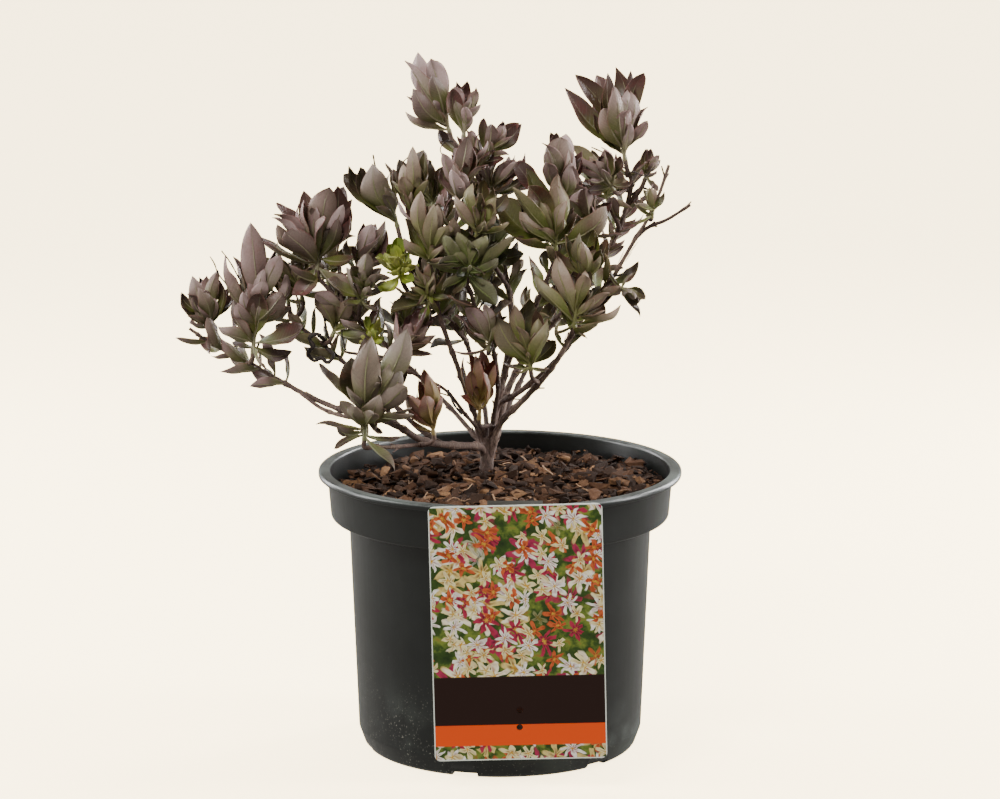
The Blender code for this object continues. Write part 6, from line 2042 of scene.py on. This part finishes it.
@dataclass
class WoodyFrame:
    """Trunk, stems and twigs with their bark, swollen joints, bud pairs and flaking strips."""

    layout: Layout
    spacing: float = 0.0020
    sides: int = 11
    joint_gap: float = 0.0165
    joint_swell: float = 0.38
    joint_reach: float = 0.0016
    bud_share: float = 0.78
    stub_share: float = 0.16
    flake_gap: float = 0.011
    seed: int = 23

    @staticmethod
    def roughness(scale: float, depth: float) -> Callable[[Vector], float]:
        """Makes a rule for uneven bark.

        Args:
            scale: the size of its bumps.
            depth: how far they stand out, as a share of the stem's radius.

        Returns:
            A function that gives that share at a point.
        """
        def rough(point: Vector) -> float:
            """The share at one point."""
            return depth * noise.noise(point / scale) + depth * 0.7 * noise.noise(point / (scale * 0.35))
        return rough

    def joints(self, length: float, draw: random.Random) -> list[float]:
        """Draws where a stem's joints are.

        Args:
            length: the stem's length.
            draw: the draws.

        Returns:
            Their distances from its root.
        """
        places = []
        at = self.joint_gap * draw.uniform(0.4, 0.9)
        while at < length - 0.003:
            places.append(at)
            at += self.joint_gap * draw.uniform(0.75, 1.3)
        return places

    def stem(self, draft: Draft, route: Route, root: float, tip: float, number: int, age: float,
             jointed: bool = True) -> None:
        """Adds one stem with its joints.

        Args:
            draft: the mesh it joins.
            route: its middle line.
            root: its radius at the root.
            tip: its radius at the tip.
            number: its place in the list, which seeds its draws.
            age: 1 on old grey bark and 0 on young reddish bark.
            jointed: whether it has swollen joints with buds.
        """
        draw = random.Random(self.seed + number)
        length = length_of(route)
        joints = self.joints(length, draw) if jointed else []
        radii = []
        run = 0.0
        for i, point in enumerate(route):
            run += (point - route[i - 1]).length if i else 0.0
            swell = sum(math.exp(-((run - at) / self.joint_reach) ** 2) for at in joints)
            radii.append((root + (tip - root) * run / length) * (1.0 + self.joint_swell * min(1.0, swell)))
        mesh = tube(route, radii, self.sides, TURN_STEP * number, rough=self.roughness(0.0022, 0.13))
        draft.add(mesh, bark_mark=(age, draw.random(), 0.0))
        for k, at in enumerate(joints):
            point, ahead = along(route, at / length)
            radius = root + (tip - root) * at / length
            side = Matrix.Rotation(k * math.pi / 2 + number, 3, ahead) @ ahead.orthogonal().normalized()
            for out in (side, -side):
                if draw.random() < self.bud_share:
                    self.bud(draft, point + out * radius * 0.8, ahead, out, age, draw)

    def bud(self, draft: Draft, point: Vector, ahead: Vector, out: Vector, age: float,
            draw: random.Random) -> None:
        """Adds a scaly bud, or in places the stub of a broken twig, at a joint.

        Args:
            draft: the mesh it joins.
            point: where it stands.
            ahead: the stem's heading.
            out: the way out of the stem.
            age: the stem's age.
            draw: the draws.
        """
        stub = draw.random() < self.stub_share
        lean = math.radians(draw.uniform(25, 50))
        heading = (ahead * math.cos(lean) + out * math.sin(lean)).normalized()
        size = draw.uniform(0.0028, 0.0060) if stub else draw.uniform(0.0014, 0.0024)
        fat = 0.00050 if stub else 0.00062
        widths = (1.0, 0.9, 0.85, 0.7) if stub else (0.7, 1.0, 0.7, 0.12)
        route = [point + heading * size * share for share in (0.0, 0.35, 0.7, 1.0)]
        mesh = tube(route, [fat * width for width in widths], 6)
        draft.add(mesh, bark_mark=(age * 0.6, draw.random(), 0.0))

    def flakes(self, draft: Draft, route: Route, radius: float, number: int) -> None:
        """Adds strips of bark that have come away along an old stem.

        Args:
            draft: the mesh they join.
            route: the stem's middle line.
            radius: how far from it they lie.
            number: the stem's place in the list.
        """
        draw = random.Random(self.seed * 7 + number)
        length = length_of(route)
        for _ in range(int(length / self.flake_gap)):
            at = draw.uniform(0.04, 0.80)
            run = draw.uniform(0.005, 0.012) / length
            turn = draw.uniform(0.0, 2 * math.pi)
            points = []
            for step in range(6):
                t = step / 5
                point, ahead = along(route, min(1.0, at + run * t))
                out = Matrix.Rotation(turn + 0.5 * t, 3, ahead) @ ahead.orthogonal().normalized()
                points.append(point + out * (radius * 1.02 + 0.0007 * t * t))
            radii = [0.00030 * (1.0 - 0.7 * abs(2 * step / 5 - 1)) for step in range(6)]
            draft.add(tube(points, radii, 4), bark_mark=(1.0, draw.random(), 1.0))

    def build(self) -> None:
        """Makes the whole framework as one piece, and the dead curls as another."""
        draft = Draft("woody_framework", ("bark_mark",))
        route = smooth_route(TRUNK, self.spacing)
        widths = [self.between(TRUNK_RADII, i / (len(route) - 1)) for i in range(len(route))]
        mesh = tube(route, widths, 18, rough=self.roughness(0.003, 0.12))
        draft.add(mesh, bark_mark=(1.0, 0.4, 0.0))
        for number, (name, (root, tip, corners)) in enumerate(STEMS.items()):
            route = smooth_route(in_metres(corners), self.spacing)
            self.stem(draft, route, root * MM / 2, tip * MM / 2, number, min(1.0, root / OLD_STEM))
            if name in FLAKING:
                self.flakes(draft, route, root * MM * 0.45, number)
        for number, shoot in enumerate(SHOOTS.values()):
            route = self.layout.twig_route(shoot, 12)
            route.append(shoot.foot + shoot.axis * 0.0012)
            self.stem(draft, route, TWIG_RADIUS * 1.05, TWIG_RADIUS * 0.95, 100 + number, 0.55, False)
        settle(draft.build(BarkFinish().make(), 60.0), "bark", "woody_stems")
        self.dead_twigs()

    @staticmethod
    def between(values: Sequence[float], share: float) -> float:
        """Reads a list as an even line of values.

        Args:
            values: the list.
            share: how far through it, from 0 to 1.

        Returns:
            The value there.
        """
        place = share * (len(values) - 1)
        low = min(int(place), len(values) - 2)
        return values[low] + (values[low + 1] - values[low]) * (place - low)

    def dead_twigs(self) -> None:
        """Makes the bare dead twigs, the knobbly loop and the thin tendrils."""
        draft = Draft("dead_twigs")
        for number, (thickness, corners) in enumerate([*DEAD_TWIGS, *FINE_TWIGS]):
            route = smooth_route(in_metres(corners), 0.0014)
            draw = random.Random(number)
            radii = [thickness * MM * (0.5 - 0.15 * i / len(route)) * draw.uniform(0.85, 1.2)
                     for i in range(len(route))]
            draft.add(tube(route, radii, 8, rough=self.roughness(0.0016, 0.22)))
        settle(draft.build(DeadTwigFinish().make(), 60.0), "bark")


@dataclass
class FineLeaf:
    """A leaf with a rounded outline, a midrib, cupped sides, a waved edge and a turned tip."""

    blade: Blade
    draw: random.Random
    green: float
    roundness: float = 0.0
    rows: int = 15
    columns: int = 8
    thickness: float = 0.00026
    neck: float = 0.05
    groove: float = 0.00010

    def half_width(self, share: float, early: float, late: float) -> float:
        """The leaf's outline: widest past its middle, with a blunt point.

        Args:
            share: how far along the leaf.
            early: how slowly it widens.
            late: how pointed it ends.

        Returns:
            The half width there, as a share of the widest.
        """
        t = max(0.0, (share - self.neck) / (1.0 - self.neck))
        peak = early / (early + late)
        return (t / peak) ** early * ((1 - t) / (1 - peak)) ** late

    def build(self, draft: Draft) -> None:
        """Adds the leaf to its shoot's mesh.

        Args:
            draft: the shoot's mesh.
        """
        draw = self.draw
        ahead, face, side, length = self.blade.frame()
        half = self.blade.width * (0.46 + 0.16 * self.roundness)
        early = draw.uniform(0.95, 1.30)
        late = draw.uniform(0.62, 1.08) * (1.0 - 0.45 * self.roundness)
        fold = LEAF_FOLD * draw.uniform(0.75, 1.45)
        wave, beats, phase = draw.uniform(0.03, 0.13), draw.uniform(1.4, 3.2), draw.uniform(0.0, 6.3)
        twist, sway, flick = draw.uniform(-0.9, 0.9), draw.uniform(-0.11, 0.11), draw.uniform(-0.15, 0.20)
        tint = draw.random()
        grid: LeafGrid = []
        for row in range(self.rows + 1):
            share = row / self.rows
            share = share * 0.96 + 0.04 * math.sin(share * math.pi / 2)
            bow = LEAF_BOW * 4 * share * (1 - share) - flick * max(0.0, share - 0.7) ** 2 * 11
            middle = self.blade.root + ahead * length * share - face * bow * length
            middle += side * sway * length * math.sin(math.pi * share)
            angle = twist * (share - 0.3)
            out = side * math.cos(angle) + face * math.sin(angle)
            up = face * math.cos(angle) - side * math.sin(angle)
            wide = half * self.half_width(min(share, 0.9995), early, late) + 0.0004 * (1 - share)
            line = []
            for column in range(self.columns + 1):
                c = 2 * column / self.columns - 1
                ripple = math.sin(beats * 2 * math.pi * share + phase * (1 + (c > 0)))
                lift = fold * wide * abs(c) ** 1.35 + wave * half * abs(c) ** 3 * ripple
                line.append((middle + out * wide * c + up * lift, share, c, up))
            grid.append(line)
        self.skins(draft, grid, tint)
        self.midrib(draft, grid, tint)

    def skins(self, draft: Draft, grid: LeafGrid, tint: float) -> None:
        """Adds the upper and the under skin, joined round the edge.

        Args:
            draft: the shoot's mesh.
            grid: rows of (point, share along, place across, way up).
            tint: the leaf's own draw.
        """
        points, places, marks = [], [], []
        for under in (0.0, 1.0):
            for point, share, c, up in (spot for line in grid for spot in line):
                groove = self.groove * math.exp(-(c / 0.10) ** 2) * (1 - under)
                points.append(point + up * (self.thickness * (0.5 - under) - groove))
                places.append((share, c, under))
                marks.append((under, tint, self.green))
        draft.add((points, sheet_faces(self.rows, self.columns)), leaf_place=places, leaf_mark=marks)

    def midrib(self, draft: Draft, grid: LeafGrid, tint: float) -> None:
        """Adds the leaf's stalk and the midrib that stands out below.

        Args:
            draft: the shoot's mesh.
            grid: as skins takes it.
            tint: the leaf's own draw.
        """
        spots = [line[self.columns // 2] for line in grid[:self.rows - 1:2]]
        route = [point - up * self.thickness * 0.6 for point, _, _, up in spots]
        radii = [0.00050 * (1 - share) ** 0.8 + 0.00010 for _, share, _, _ in spots]
        draft.add(tube(route, radii, 5), leaf_place=(0.1, 0.0, 1.0), leaf_mark=(1.0, tint, self.green))


@dataclass
class Foliage:
    """Every leafy shoot, with its soft green stem and its leaves, and the leaf pairs along the stems."""

    layout: Layout
    finishes: dict[Tone, bpy.types.Material]
    stem_steps: int = 9
    stem_overrun: float = 1.12

    def leaves(self, draft: Draft, blades: list[Blade], draw: random.Random, roundness: float = 0.0) -> None:
        """Adds a fine leaf for each blade.

        Args:
            draft: the mesh they join.
            blades: where they lie.
            draw: the draws.
            roundness: how round their outline is.
        """
        for blade in blades:
            FineLeaf(blade, draw, draw.uniform(0.2, 1.0), roundness).build(draft)

    def shoot(self, name: str) -> None:
        """Builds one shoot as one piece, in place of its CAD node.

        Args:
            name: the shoot.
        """
        shoot = SHOOTS[name]
        draft = Draft("leaves_" + name, LEAF_MARKS)
        steps = self.stem_steps
        route = [shoot.foot + shoot.reach * self.stem_overrun * i / steps for i in range(steps + 1)]
        radii = [SHOOT_RADIUS * (1.0 - 0.5 * i / steps) * (1.12 if i % 3 == 1 else 0.92)
                 for i in range(steps + 1)]
        draft.add(tube(route, radii, 8), leaf_place=(0.05, 0.0, 0.5), leaf_mark=(0.6, 0.5, 1.0))
        draw = random.Random("fine_" + name)
        self.leaves(draft, self.layout.blades[name], draw, ROUND_TONES.get(shoot.tone, 0.0))
        settle(draft.build(self.finishes[Tone(shoot.tone)], 55.0), "leaf_" + shoot.tone, "shoot_" + name)

    def pairs(self, tone: Tone, stems: Sequence[tuple[str, float, float]]) -> None:
        """Builds the leaf pairs along some stems as one piece.

        Args:
            tone: their tone.
            stems: each stem, and the shares of its length that they stand between.
        """
        draft = Draft("stem_leaves_" + tone.value, LEAF_MARKS)
        for stem, low, high in stems:
            self.leaves(draft, self.layout.stem_leaves(stem, low, high), random.Random("fine_pairs_" + stem))
        settle(draft.build(self.finishes[tone], 55.0), "leaf_" + tone.value)

    def build(self) -> None:
        """Builds them all."""
        for name in SHOOTS:
            self.shoot(name)
        for tone, stems in LEAFY_STEMS.items():
            self.pairs(Tone(tone), stems)


@dataclass
class Studio:
    """Cream paper under and behind the pot, soft lights, and the camera at the photograph's angle."""

    camera_distance: float = 2.1466
    camera_height: float = 0.6298
    camera_pitch: float = math.radians(11.73)
    pixels_across: float = 1000.0
    focal_pixels: float = 4203.0
    sensor: float = 36.0
    air: str = "fbf6ec"
    air_strength: float = 0.52
    paper_reach: float = 6.0
    paper_back: float = 3.2
    paper_bend: float = 1.6
    paper_top: float = 5.0
    aim: Point = (0.0, 0.0, 0.17)
    boxes: tuple[tuple[str, Point, tuple[float, float], float], ...] = (
        ("box_key", (-0.7, -1.3, 1.7), (0.6, 0.6), 40.0),
        ("box_left", (-1.4, 0.1, 0.7), (0.35, 1.4), 33.0),
        ("box_right", (1.4, 0.0, 0.7), (0.35, 1.4), 45.0),
        ("box_rim_left", (-0.85, 0.80, 0.45), (0.22, 1.1), 13.0),
        ("box_rim_right", (0.85, 0.80, 0.45), (0.22, 1.1), 22.0),
        ("box_top", (0.2, 0.9, 1.9), (1.4, 1.0), 26.0),
    )

    def paper(self) -> None:
        """Lays the floor, which curves up into the backdrop."""
        foot = self.paper_back - self.paper_bend
        section = [(-self.paper_reach, 0.0), (foot, 0.0)]
        for step in range(1, 13):
            angle = math.pi / 2 * step / 12
            out, up = math.sin(angle), 1 - math.cos(angle)
            section.append((foot + self.paper_bend * out, self.paper_bend * up))
        section.append((self.paper_back, self.paper_top))
        points = [Vector((x, y, z)) for y, z in section for x in (-self.paper_reach, self.paper_reach)]
        faces = [(2 * i, 2 * i + 1, 2 * i + 3, 2 * i + 2) for i in range(len(section) - 1)]
        draft = Draft("studio_sweep")
        draft.add((points, faces))
        floor = draft.build(SweepFinish().make())
        floor.visible_diffuse = False
        floor.visible_glossy = False

    def light(self, name: str, place: Point, size: tuple[float, float], watts: float) -> None:
        """Adds one soft box that points at the plant's foot.

        Args:
            name: its name.
            place: where it stands.
            size: its width and height.
            watts: its power.
        """
        lamp = bpy.data.lights.new(name, "AREA")
        lamp.shape = "RECTANGLE"
        lamp.size, lamp.size_y = size
        lamp.energy = watts
        box = bpy.data.objects.new(name, lamp)
        box.location = place
        box.rotation_euler = (Vector(self.aim) - Vector(place)).to_track_quat("-Z", "Y").to_euler()
        bpy.context.scene.collection.objects.link(box)

    def camera(self) -> None:
        """Sets the camera, fitted to the pot in the photograph."""
        lens = bpy.data.cameras.new("photo_camera")
        lens.sensor_width = self.sensor
        lens.lens = self.focal_pixels / self.pixels_across * self.sensor
        lens.clip_end = 30.0
        camera = bpy.data.objects.new("photo_camera", lens)
        camera.location = (0.0, -self.camera_distance, self.camera_height)
        camera.rotation_euler = (math.pi / 2 - self.camera_pitch, 0.0, 0.0)
        bpy.context.scene.collection.objects.link(camera)
        bpy.context.scene.camera = camera

    def build(self) -> None:
        """Sets the whole studio up."""
        self.paper()
        world = bpy.data.worlds.new("studio_air")
        world.use_nodes = True
        air = world.node_tree.nodes["Background"]
        air.inputs["Color"].default_value = (*paint(self.air), 1.0)
        air.inputs["Strength"].default_value = self.air_strength
        bpy.context.scene.world = world
        for box in self.boxes:
            self.light(*box)
        self.camera()


def main() -> None:
    """Builds the classes in order."""
    logging.basicConfig(level=logging.INFO, format="%(name)s: %(message)s")
    layout = Layout()
    Pot().build()
    Mulch().build()
    PictureLabel().build()
    WoodyFrame(layout).build()
    Foliage(layout, {finish.tone: finish.make() for finish in LEAF_FINISHES}).build()
    Studio().build()


if __name__ == "__main__":
    main()
